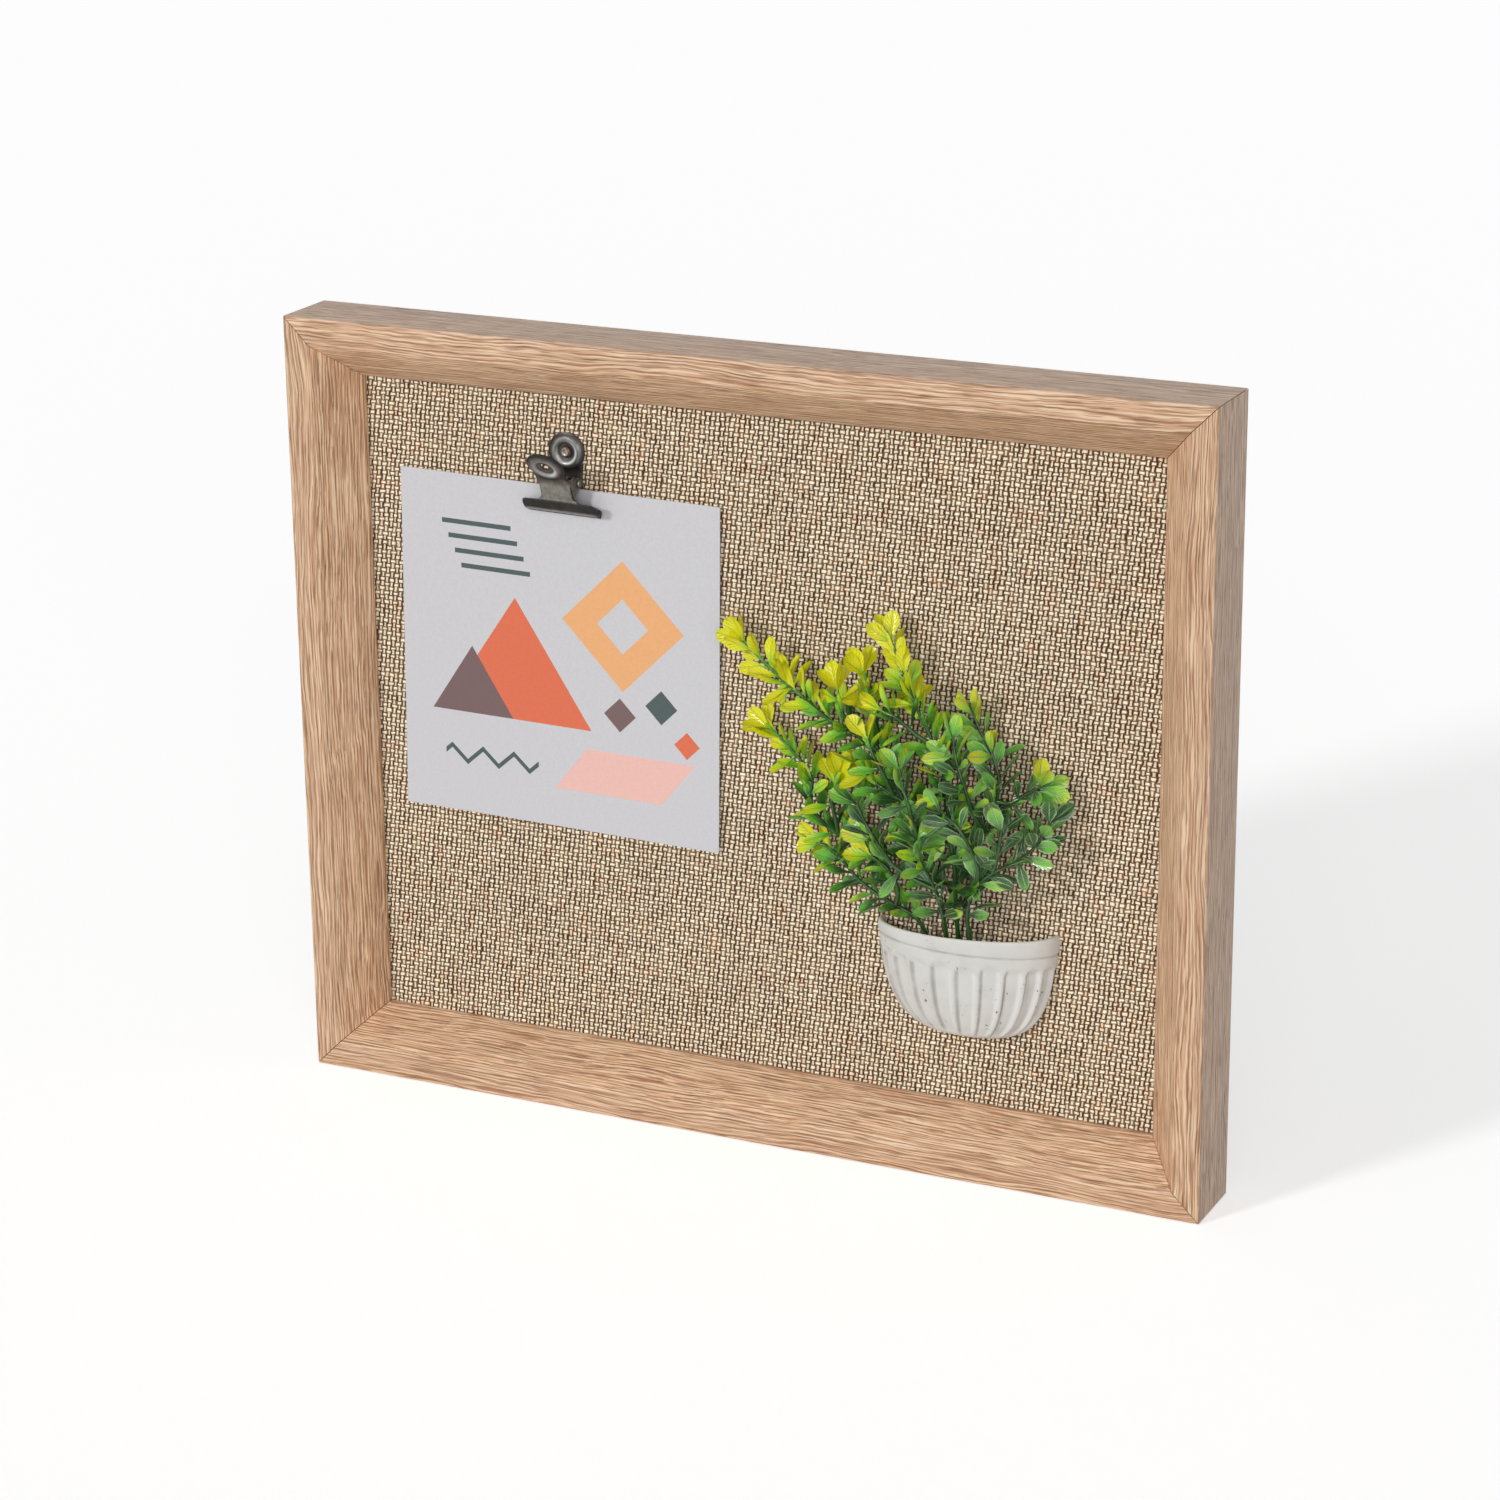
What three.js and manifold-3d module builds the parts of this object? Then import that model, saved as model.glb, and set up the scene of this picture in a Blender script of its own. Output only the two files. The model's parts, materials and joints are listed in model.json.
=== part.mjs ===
// A wooden shadow-box picture frame with a linen board behind it. A spring clip on the board holds a square
// photo card, and a fluted half pot beside it carries sprigs of plastic boxwood. Millimetres, +Z up. The
// origin is the middle of the underside, the front faces -Y, and the part stands on its bottom rail.

import * as THREE from 'three';
import { mergeVertices } from 'three/addons/utils/BufferGeometryUtils.js';
import Module from 'manifold-3d';

const wasm = await Module();
wasm.setup();

// Frame rails: a flat band, a bevel and a short straight lip in front, a rebate behind
const FRAME_WIDTH = 275;
const FRAME_HEIGHT = 225;
const FRAME_DEPTH = 22.5;
const FLAT_WIDTH = 7.8;
const BEVEL_WIDTH = 10.2;
const BEVEL_DEPTH = 12.2;
const LIP_RETURN = 1.8;
const RAIL_WALL = 10;
const MITRE_GAP = 0.1;

// Board stack in the rebate: linen, core board, folded linen hem, back panel
const LINEN_THICKNESS = 0.9;
const HEM_WIDTH = 14;
const PANEL_THICKNESS = 2.5;
const BOARD_CLEARANCE = 0.4;
const SEAT_GAP = 0.1;

// Turn buttons and their screws on the back of the rails
const BUTTON_WIDTH = 8;
const BUTTON_REACH = 9;
const BUTTON_NOSE_RADIUS = 3.2;
const BUTTON_THICKNESS = 1;
const BUTTON_INSET = 5;
const BUTTON_SHIFT = 62;
const SCREW_SHANK_RADIUS = 1.3;
const SCREW_HEAD_RADIUS = 2.8;
const SCREW_HEAD_HEIGHT = 1.4;
const SCREW_DEPTH = 10;
const SHANK_CLEARANCE = 0.3;

// Domed fastener heads: the share of the height that is a straight rim, and how far out the crown stays full
const HEAD_RIM_SHARE = 0.35;
const HEAD_CROWN_SHARE = 0.85;

// Sawtooth hanger and its nails on the back of the top rail
const HANGER_LENGTH = 44;
const HANGER_HEIGHT = 8;
const HANGER_THICKNESS = 0.8;
const HANGER_RISE = 1.2;
const HANGER_FOOT = 9;
const HANGER_RAMP = 3;
const HANGER_EDGE = 1;
const TOOTH_COUNT = 8;
const TOOTH_DEPTH = 1.6;
const NAIL_RADIUS = 0.6;
const NAIL_HEAD_RADIUS = 1.6;
const NAIL_HEAD_HEIGHT = 0.5;
const NAIL_DEPTH = 7;

// V-nails that hold the mitres
const VNAIL_SPREAD = 3.2;
const VNAIL_RISE = 1.6;
const VNAIL_THICKNESS = 0.6;
const VNAIL_DEPTH = 8;

// Spring clip, measured from its pivot pin
const CLIP_FROM_LEFT = 81.3;
const CLIP_FROM_TOP = 42;
const CLIP_LEAN = THREE.MathUtils.degToRad(0.9);
const SHEET_THICKNESS = 0.6;
const PIVOT_STAND_OFF = 2.8;
const EAR_HOLE_RADIUS = 1.5;
const EAR_SHOULDER = 0.7;
const REAR_EAR_RISE = 8;
const FRONT_EAR_REACH = 8;
const FRONT_EAR_LEAN = THREE.MathUtils.degToRad(41);
const RING_CLEARANCE = 0.8;
const RING_WIDTH = 2;
const RING_MARGIN = 0.8;
const RING_SLOPE = 0.5;
const RING_HEIGHT = 0.35;
const RING_ROOT = 0.2;
const JAW_WIDTH = 22.2;
const JAW_DROP = 9.5;
const JAW_SHOULDER = 5;
const JAW_CORNER = 0.8;
const JAW_FILLET = 2.2;
const JAW_BULGE = 0.4;
const JAW_UNDERCUT = 0.4;
const JAW_BEAD_RADIUS = 0.75;
const FRONT_PLATE_OFFSET = 2.75;
const BEND_RISE = 0.6;
const NECK_REACH = 1.8;
const PIN_RADIUS = 0.75;
const PIN_CLEARANCE = 0.2;
const PIN_HEAD_RADIUS = 1.2;
const PIN_HEAD_LENGTH = 0.5;
const LUG_RADIUS = 1.7;
const LUG_ROOT_RISE = 1;
const LUG_GAP = 0.4;
const RIVET_SHANK_RADIUS = 1.1;
const RIVET_HEAD_RADIUS = 1.9;
const RIVET_HEAD_HEIGHT = 0.9;

// Torsion spring round the pivot pin
const WIRE_RADIUS = 0.35;
const COIL_CLEARANCE = 0.25;
const COIL_PITCH = 1.25;
const COIL_WHOLE_TURNS = 3;
const REAR_LEG_LENGTH = 2.8;
const FRONT_LEG_LENGTH = 6.5;
const FRONT_LEG_LEAN = THREE.MathUtils.degToRad(49);
const STEPS_PER_TURN = 8;
const WIRE_SIDES = 5;

// Photo card in the clip
const CARD_SIZE = 100;
const CARD_THICKNESS = 0.3;
const CARD_TOP = -2.1;
const CARD_SHIFT = -2.7;
const CARD_GAP = 0.15;

// Fluted half pot glued to the linen
const POT_FROM_RIGHT = 72.9;
const POT_RIM_Z = 69;
const POT_HALF_WIDTH = 26.6;
const POT_PROJECTION = 12;
const POT_HEIGHT = 29.5;
const POT_BASE_HALF_WIDTH = 13;
const POT_WALL = 1.9;
const BELLY_INSET = 0.8;
const BELLY_DEPTH = 25.4;
const RIM_BAND = 3.2;
const RIM_PROUD = 0.35;
const RIM_RISE = 2;
const FLUTE_COUNT = 11;
const FLUTE_DEPTH = 0.7;
const FLUTE_TOP = 6.2;
const FLUTE_FADE = 2.6;
const POT_SEGMENTS_PER_FLUTE = 4;

// Foam plug in the pot, with a hole for each stem
const PLUG_DROP = 8;
const PLUG_CLEARANCE = 0.6;
const STEM_HOLE_DEPTH = 8;
const STEM_CLEARANCE = 0.3;

// Boxwood sprigs: round stems with leaves in opposite pairs
const STEM_RADIUS = 0.75;
const STEM_SIDES = 5;
const STEM_STEP = 6.5;
const LEAF_THICKNESS = 0.6;
const PETIOLE_HALF = 0.4;
const LEAF_LENGTH = 10;
const TIP_LEAF_LENGTH = 8;
const LEAF_WIDTH_RATIO = 0.56;
const LEAF_WIDEST_SHARE = 0.6;
const LEAF_TIP_SHARE = 0.45;
const LEAF_GUARD = 0.25;
const LEAF_GUARD_START = 1.6;
const PAIR_SPACING = 6.6;
const LAST_PAIR_SHARE = 0.97;
const TIP_LEAF_SHARE = 0.985;
const LEAF_FACING = 0.55;
const LEAF_SPREAD = THREE.MathUtils.degToRad(58);
const TIP_LEAF_SPREAD = THREE.MathUtils.degToRad(34);
const PAIR_TURN = THREE.MathUtils.degToRad(90);
const PAIR_START_TURN = THREE.MathUtils.degToRad(32);

// Each sprig: its foot in the plug (sideways from the pot's middle, and share of the hollow's depth) and its
// shoots. A shoot has its route (sideways from the pot's middle, out from the linen, up from the rim) and the
// share of its length where its leaves start. A side shoot leaves an earlier one at a share of that one. Feet
// and routes are drawn on a grid, and count its steps.
const ROUTE_STEP = 0.5;
const SPRIGS = [
  { name: 'sprig_lower_left', foot: [-21, 0.34], shoots: [
    { start: 0.36, route: [[-28, 10, 6], [-38, 13, 12], [-49, 15, 18], [-61, 15, 26], [-74, 14, 38],
      [-86, 13, 42]] },
    { of: 0, from: 0.47, start: 0.3, route: [[-34, 19, 24], [-38, 23, 36], [-48, 24, 43]] },
  ] },
  { name: 'sprig_upper_left', foot: [-10, 0.34], shoots: [
    { start: 0.26, route: [[-10, 13, 12], [-12, 17, 34], [-21, 19, 56], [-30, 19, 74], [-42, 18, 94],
      [-52, 18, 106], [-74, 17, 114], [-88, 16, 123], [-106, 14, 134], [-134, 12, 156]] },
    { of: 0, from: 0.28, start: 0.2, route: [[-29, 17, 41], [-50, 16, 45], [-70, 16, 49],
      [-83, 15, 57], [-88, 15, 67], [-87, 15, 79], [-94, 14, 88], [-116, 12, 106]] },
    { of: 0, from: 0.46, start: 0.28, route: [[-43, 11, 85], [-49, 9, 100], [-51, 10, 118],
      [-57, 13, 144]] },
    { of: 1, from: 0.43, start: 0.4, route: [[-70, 21, 59], [-71, 24, 73], [-67, 24, 86]] },
    { of: 0, from: 0.58, start: 0.3, route: [[-60, 23, 114], [-65, 24, 124], [-68, 23, 135]] },
  ] },
  { name: 'sprig_front', foot: [-8, 0.6], shoots: [
    { start: 0.42, route: [[-8, 19, 14], [-10, 27, 33], [-16, 31, 48], [-17, 34, 62],
      [-17, 35, 70]] },
    { of: 0, from: 0.6, start: 0.3, route: [[-21, 30, 36], [-34, 30, 43], [-48, 28, 54]] },
    { of: 0, from: 0.93, start: 0.3, route: [[-20, 36, 78], [-24, 35, 88], [-27, 33, 98]] },
    { of: 1, from: 0.6, start: 0.3, route: [[-42, 33, 57], [-48, 33, 66], [-53, 31, 75]] },
  ] },
  { name: 'sprig_upper_middle', foot: [-2, 0.48], shoots: [
    { start: 0.28, route: [[-1, 16, 17], [0, 21, 42], [-2, 24, 65], [-5, 23, 92], [-11, 22, 109],
      [-20, 20, 124], [-27, 18, 136], [-33, 16, 150], [-43, 14, 168]] },
    { of: 0, from: 0.47, start: 0.3, route: [[-13, 28, 71], [-30, 29, 80], [-45, 28, 88],
      [-56, 26, 96]] },
    { of: 0, from: 0.68, start: 0.3, route: [[-21, 25, 116], [-33, 25, 124], [-41, 24, 126]] },
    { of: 1, from: 0.55, start: 0.3, route: [[-37, 33, 95], [-42, 34, 104], [-46, 33, 113]] },
  ] },
  { name: 'sprig_right', foot: [3, 0.24], shoots: [
    { start: 0.27, route: [[3, 11, 16], [8, 13, 38], [14, 14, 60], [21, 15, 79], [23, 15, 92],
      [19, 14, 106], [12, 13, 117], [5, 12, 131]] },
    { of: 0, from: 0.56, start: 0.3, route: [[11, 20, 73], [7, 24, 89], [2, 24, 104],
      [-1, 22, 116]] },
    { of: 0, from: 0.68, start: 0.3, route: [[29, 16, 81], [38, 15, 87], [47, 15, 93]] },
  ] },
  { name: 'sprig_lower_right', foot: [6, 0.55], shoots: [
    { start: 0.36, route: [[6, 17, 16], [12, 21, 32], [22, 22, 42], [33, 20, 49], [44, 18, 58],
      [50, 16, 68], [54, 15, 76]] },
    { of: 0, from: 0.52, start: 0.3, route: [[16, 27, 46], [12, 30, 59], [5, 31, 70],
      [-5, 30, 76]] },
    { of: 0, from: 0.63, start: 0.3, route: [[27, 25, 56], [29, 25, 69]] },
  ] },
];

// Colours
const OAK = { color: 0xcda478, roughness: 0.62, metalness: 0 };
const LINEN = { color: 0xc9b892, roughness: 0.95, metalness: 0 };
const GREY_BOARD = { color: 0x9b958a, roughness: 0.9, metalness: 0 };
const HARDBOARD = { color: 0x7a5a3e, roughness: 0.8, metalness: 0 };
const ZINC = { color: 0xb5b3ad, roughness: 0.38, metalness: 0.9 };
const GUNMETAL = { color: 0x4c4843, roughness: 0.42, metalness: 0.85 };
const BRIGHT_STEEL = { color: 0xb9b6b0, roughness: 0.28, metalness: 0.95 };
const CARD_STOCK = { color: 0xd2d2d8, roughness: 0.7, metalness: 0 };
const GLAZE = { color: 0xd8d5cd, roughness: 0.55, metalness: 0 };
const FOAM = { color: 0x4a5a3a, roughness: 0.95, metalness: 0 };
const BOXWOOD = { color: 0x5d8f2c, roughness: 0.4, metalness: 0 };

// Planes across the depth, from the front face at -Y to the back face at +Y
const FRONT_Y = -FRAME_DEPTH / 2;
const BACK_Y = FRAME_DEPTH / 2;
const RECESS = BEVEL_DEPTH + LIP_RETURN;
const LINEN_Y = FRONT_Y + RECESS + SEAT_GAP;
const CORE_Y = LINEN_Y + LINEN_THICKNESS + SEAT_GAP;
const PANEL_Y = BACK_Y - SEAT_GAP - PANEL_THICKNESS;
const HEM_Y = PANEL_Y - SEAT_GAP - LINEN_THICKNESS;
const CORE_THICKNESS = HEM_Y - SEAT_GAP - CORE_Y;
const BOARD_WIDTH = FRAME_WIDTH - 2 * (RAIL_WALL + BOARD_CLEARANCE);
const BOARD_HEIGHT = FRAME_HEIGHT - 2 * (RAIL_WALL + BOARD_CLEARANCE);
const FRAME_MIDDLE_Z = FRAME_HEIGHT / 2;

// Where the clip's pin and the pot's middle are on the board
const CLIP_X = CLIP_FROM_LEFT - FRAME_WIDTH / 2;
const CLIP_Z = FRAME_HEIGHT - CLIP_FROM_TOP;
const POT_X = FRAME_WIDTH / 2 - POT_FROM_RIGHT;

const WELD = 1e-4;
const ROUND_SIDES = 12;
const HALF_TURN = Math.PI;
const QUARTER_TURN = Math.PI / 2;

// A closed solid from any closed three.js geometry
function toSolid(geometry) {
  const bare = new THREE.BufferGeometry();
  bare.setAttribute('position', geometry.attributes.position.clone());
  bare.setIndex(geometry.index ? geometry.index.clone() : null);
  const merged = mergeVertices(bare, WELD);
  const corners = merged.index.array;
  const kept = [];
  for (let i = 0; i < corners.length; i += 3) {
    const [a, b, c] = [corners[i], corners[i + 1], corners[i + 2]];
    if (a !== b && b !== c && c !== a) kept.push(a, b, c);
  }
  return new wasm.Manifold(new wasm.Mesh({
    numProp: 3,
    vertProperties: new Float32Array(merged.attributes.position.array),
    triVerts: new Uint32Array(kept),
  }));
}

function toGeometry(solid) {
  const mesh = solid.getMesh();
  const geometry = new THREE.BufferGeometry();
  geometry.setAttribute('position', new THREE.BufferAttribute(new Float32Array(mesh.vertProperties), 3));
  geometry.setIndex(new THREE.BufferAttribute(new Uint32Array(mesh.triVerts), 1));
  geometry.computeVertexNormals();
  return geometry;
}

function named(name, solid, look) {
  const mesh = new THREE.Mesh(toGeometry(solid), new THREE.MeshStandardMaterial(look));
  mesh.name = name;
  return mesh;
}

// A block between two corners
function block(low, high) {
  const size = high.map((value, axis) => value - low[axis]);
  const middle = high.map((value, axis) => (value + low[axis]) / 2);
  return new THREE.BoxGeometry(...size).translate(...middle);
}

// A round bar along Y, from one depth to another
function barAlongY(radius, fromY, toY, x = 0, z = 0) {
  const bar = new THREE.CylinderGeometry(radius, radius, toY - fromY, ROUND_SIDES);
  return bar.translate(0, (fromY + toY) / 2, 0).translate(x, 0, z);
}

// A round bar along X, centred on the pivot pin's line
function barAlongX(radius, fromX, toX, y = 0, z = 0) {
  const bar = new THREE.CylinderGeometry(radius, radius, toX - fromX, ROUND_SIDES).rotateZ(QUARTER_TURN);
  return bar.translate((fromX + toX) / 2, y, z);
}

// A flat plate whose outline is drawn in X and Z as seen from the front, between two depths
function plate(outline, fromY, toY, curveSegments = ROUND_SIDES / 2) {
  const flat = new THREE.ExtrudeGeometry(outline, { depth: toY - fromY, bevelEnabled: false, curveSegments });
  return flat.rotateX(QUARTER_TURN).translate(0, toY, 0);
}

// A plate whose outline is drawn as seen from the right, forward and up, between two widths
function sidePlate(outline, fromX, toX) {
  const [depth, curveSegments] = [toX - fromX, ROUND_SIDES / 2];
  const flat = new THREE.ExtrudeGeometry(outline, { depth, bevelEnabled: false, curveSegments });
  const turn = new THREE.Matrix4().makeBasis(
    new THREE.Vector3(0, -1, 0), new THREE.Vector3(0, 0, 1), new THREE.Vector3(-1, 0, 0));
  return flat.applyMatrix4(turn).translate(toX, 0, 0);
}

function polygon(points) {
  return new THREE.Shape(points.map(([x, y]) => new THREE.Vector2(x, y)));
}

function regular(radius, sides) {
  const angles = Array.from({ length: sides }, (_, i) => (2 * HALF_TURN * i) / sides);
  return polygon(angles.map((angle) => [radius * Math.cos(angle), radius * Math.sin(angle)]));
}

// The outline of a bent strip of even thickness whose middle line runs through the points
function strip(points, thickness) {
  const side = (sign) => points.map((point, i) => {
    const before = points[Math.max(i - 1, 0)];
    const after = points[Math.min(i + 1, points.length - 1)];
    const along = new THREE.Vector2(after[0] - before[0], after[1] - before[1]).normalize();
    const reach = (sign * thickness) / 2;
    return [point[0] - along.y * reach, point[1] + along.x * reach];
  });
  return polygon([...side(-1), ...side(1).reverse()]);
}

// A headed fastener along Y: a domed head standing out towards +Y from its seat, and a shank behind the seat
function fastener(headRadius, headHeight, shankRadius, shankDepth) {
  const dome = new THREE.QuadraticBezierCurve(
    new THREE.Vector2(headRadius, headHeight * HEAD_RIM_SHARE),
    new THREE.Vector2(headRadius * HEAD_CROWN_SHARE, headHeight), new THREE.Vector2(0, headHeight));
  const profile = [
    new THREE.Vector2(0, -shankDepth), new THREE.Vector2(shankRadius, -shankDepth),
    new THREE.Vector2(shankRadius, 0), new THREE.Vector2(headRadius, 0), ...dome.getPoints(3),
  ];
  return new THREE.LatheGeometry(profile, ROUND_SIDES);
}

// Rails. The four share one section, and each end lies in the mitre: a point of the section ends nearer the
// middle by its own distance from the outer edge.
function railGeometry(length, reach) {
  const inner = FLAT_WIDTH + BEVEL_WIDTH;
  const section = polygon([
    [0, 0], [FLAT_WIDTH, 0], [inner, BEVEL_DEPTH], [inner, RECESS], [RAIL_WALL, RECESS],
    [RAIL_WALL, FRAME_DEPTH], [0, FRAME_DEPTH],
  ]);
  const rail = new THREE.ExtrudeGeometry(section, { depth: 1, bevelEnabled: false });
  const place = rail.attributes.position;
  for (let i = 0; i < place.count; i += 1) {
    const fromEdge = place.getX(i);
    const fromFront = place.getY(i);
    const end = place.getZ(i) > 0.5 ? -1 : 1;
    place.setXYZ(i, end * (length / 2 - fromEdge - MITRE_GAP), FRONT_Y + fromFront, fromEdge - reach);
  }
  return rail;
}

const RAILS = [
  { name: 'rail_bottom', length: FRAME_WIDTH, reach: FRAME_HEIGHT / 2, turn: 0, shift: BUTTON_SHIFT },
  { name: 'rail_left', length: FRAME_HEIGHT, reach: FRAME_WIDTH / 2, turn: QUARTER_TURN, shift: 0 },
  { name: 'rail_top', length: FRAME_WIDTH, reach: FRAME_HEIGHT / 2, turn: HALF_TURN, shift: BUTTON_SHIFT },
  { name: 'rail_right', length: FRAME_HEIGHT, reach: FRAME_WIDTH / 2, turn: -QUARTER_TURN, shift: 0 },
];

// V-nail across a mitre, driven in from the back: two wings that meet on the mitre line
function vNailGeometry(corner, margin, backY) {
  const spread = VNAIL_SPREAD + margin;
  const rise = (VNAIL_RISE * spread) / VNAIL_SPREAD;
  const wings = strip([[-spread, rise], [0, 0], [spread, rise]], VNAIL_THICKNESS + 2 * margin);
  const inward = new THREE.Vector2(-Math.sign(corner.x), -Math.sign(corner.z));
  const nail = plate(wings, BACK_Y - VNAIL_DEPTH - margin, backY);
  nail.rotateY(Math.atan2(inward.x, inward.y));
  const depthOnMitre = RAIL_WALL / 2 - VNAIL_RISE / 2;
  return nail.translate(corner.x + inward.x * depthOnMitre, 0, corner.z + inward.y * depthOnMitre);
}

const CORNERS = [
  { name: 'v_nail_bottom_left', x: -FRAME_WIDTH / 2, z: -FRAME_HEIGHT / 2 },
  { name: 'v_nail_top_left', x: -FRAME_WIDTH / 2, z: FRAME_HEIGHT / 2 },
  { name: 'v_nail_top_right', x: FRAME_WIDTH / 2, z: FRAME_HEIGHT / 2 },
  { name: 'v_nail_bottom_right', x: FRAME_WIDTH / 2, z: -FRAME_HEIGHT / 2 },
];

// Turn buttons: one on each rail, with its nose over the back panel and its screw in the rail
function buttonPlace(rail) {
  const place = new THREE.Vector3(rail.shift, 0, BUTTON_INSET - rail.reach);
  return place.applyAxisAngle(new THREE.Vector3(0, 1, 0), rail.turn);
}

function buttonSolid() {
  const half = BUTTON_WIDTH / 2;
  const outline = new THREE.Shape();
  outline.moveTo(-half, 0);
  outline.absarc(0, 0, half, -HALF_TURN, 0, false);
  outline.lineTo(BUTTON_NOSE_RADIUS, BUTTON_REACH);
  outline.absarc(0, BUTTON_REACH, BUTTON_NOSE_RADIUS, 0, HALF_TURN, false);
  const body = toSolid(plate(outline, 0, BUTTON_THICKNESS));
  const hole = barAlongY(SCREW_SHANK_RADIUS + SHANK_CLEARANCE, -BUTTON_THICKNESS, 2 * BUTTON_THICKNESS);
  return body.subtract(toSolid(hole));
}

function buildBackFittings() {
  const group = new THREE.Group();
  const buttonY = BACK_Y + SEAT_GAP;
  const headY = buttonY + BUTTON_THICKNESS + SEAT_GAP;
  const screw = toSolid(fastener(SCREW_HEAD_RADIUS, SCREW_HEAD_HEIGHT, SCREW_SHANK_RADIUS,
    SCREW_DEPTH + BUTTON_THICKNESS + 2 * SEAT_GAP));
  const button = buttonSolid();
  for (const rail of RAILS) {
    const side = rail.name.replace('rail_', '');
    const place = buttonPlace(rail);
    const buttonMesh = named(`turn_button_${side}`, button, ZINC);
    buttonMesh.position.set(place.x, buttonY, place.z);
    buttonMesh.rotation.y = rail.turn;
    const screwMesh = named(`button_screw_${side}`, screw, ZINC);
    screwMesh.position.set(place.x, headY, place.z);
    group.add(buttonMesh, screwMesh);
  }
  group.add(named('sawtooth_hanger', hangerSolid(), ZINC));
  const nail = toSolid(fastener(NAIL_HEAD_RADIUS, NAIL_HEAD_HEIGHT, NAIL_RADIUS,
    NAIL_DEPTH + HANGER_THICKNESS + 2 * SEAT_GAP));
  for (const [side, x] of hangerNails()) {
    const nailMesh = named(`hanger_nail_${side}`, nail, ZINC);
    nailMesh.position.set(x, BACK_Y + 2 * SEAT_GAP + HANGER_THICKNESS, hangerMiddle());
    group.add(nailMesh);
  }
  return group;
}

// Sawtooth hanger: flat feet, a raised middle and teeth along the middle's lower edge
function hangerMiddle() {
  return FRAME_HEIGHT / 2 - HANGER_EDGE - HANGER_HEIGHT / 2;
}

function hangerNails() {
  const x = HANGER_LENGTH / 2 - HANGER_FOOT / 2;
  return [['left', -x], ['right', x]];
}

function hangerSolid() {
  const half = HANGER_LENGTH / 2;
  const foot = half - HANGER_FOOT;
  const bridge = foot - HANGER_RAMP;
  const low = HANGER_THICKNESS / 2;
  const high = low + HANGER_RISE;
  const bow = strip([[-half, low], [-foot, low], [-bridge, high], [bridge, high], [foot, low], [half, low]],
    HANGER_THICKNESS);
  const length = new THREE.ExtrudeGeometry(bow, { depth: HANGER_HEIGHT, bevelEnabled: false });
  length.translate(0, BACK_Y + SEAT_GAP, hangerMiddle() - HANGER_HEIGHT / 2);
  const bottom = hangerMiddle() - HANGER_HEIGHT / 2;
  const top = bottom + HANGER_HEIGHT;
  const toothWidth = (2 * bridge) / TOOTH_COUNT;
  const edge = [[-half, top], [-half, bottom], [-bridge, bottom]];
  for (let i = 0; i < TOOTH_COUNT; i += 1) {
    const toothStart = -bridge + i * toothWidth;
    edge.push([toothStart + toothWidth / 2, bottom + TOOTH_DEPTH], [toothStart + toothWidth, bottom]);
  }
  edge.push([half, bottom], [half, top]);
  const reach = HANGER_RISE + 2 * HANGER_THICKNESS;
  const teeth = toSolid(plate(polygon(edge), BACK_Y - reach, BACK_Y + reach));
  let solid = toSolid(length).intersect(teeth);
  for (const [, x] of hangerNails()) {
    const hole = barAlongY(NAIL_RADIUS + SHANK_CLEARANCE, BACK_Y - reach, BACK_Y + reach, x, hangerMiddle());
    solid = solid.subtract(toSolid(hole));
  }
  return solid;
}

// Everything that is driven into the rails from the back leaves a hole a little larger than itself
function railCuts() {
  const holes = RAILS.map((rail) => {
    const { x, z } = buttonPlace(rail);
    const end = BACK_Y - SCREW_DEPTH - SHANK_CLEARANCE;
    return barAlongY(SCREW_SHANK_RADIUS + SHANK_CLEARANCE, end, BACK_Y + 1, x, z);
  });
  for (const [, x] of hangerNails()) {
    const end = BACK_Y - NAIL_DEPTH - SHANK_CLEARANCE;
    holes.push(barAlongY(NAIL_RADIUS + SHANK_CLEARANCE, end, BACK_Y + 1, x, hangerMiddle()));
  }
  const slots = CORNERS.map((corner) => vNailGeometry(corner, SHANK_CLEARANCE, BACK_Y + 1));
  return [...holes, ...slots].map(toSolid);
}

function buildFrame() {
  const group = new THREE.Group();
  const cuts = railCuts();
  for (const rail of RAILS) {
    const bare = toSolid(railGeometry(rail.length, rail.reach).rotateY(rail.turn));
    group.add(named(rail.name, cuts.reduce((solid, cut) => solid.subtract(cut), bare), OAK));
  }
  for (const corner of CORNERS) {
    group.add(named(corner.name, toSolid(vNailGeometry(corner, 0, BACK_Y - SEAT_GAP)), ZINC));
  }
  return group;
}

// Board: linen stretched over the core and folded to its back, and a loose back panel
function rivetPlace() {
  const place = new THREE.Vector3(0, 0, REAR_EAR_RISE).applyAxisAngle(new THREE.Vector3(0, 1, 0), CLIP_LEAN);
  return place.add(new THREE.Vector3(CLIP_X, 0, CLIP_Z - FRAME_MIDDLE_Z));
}

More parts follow.
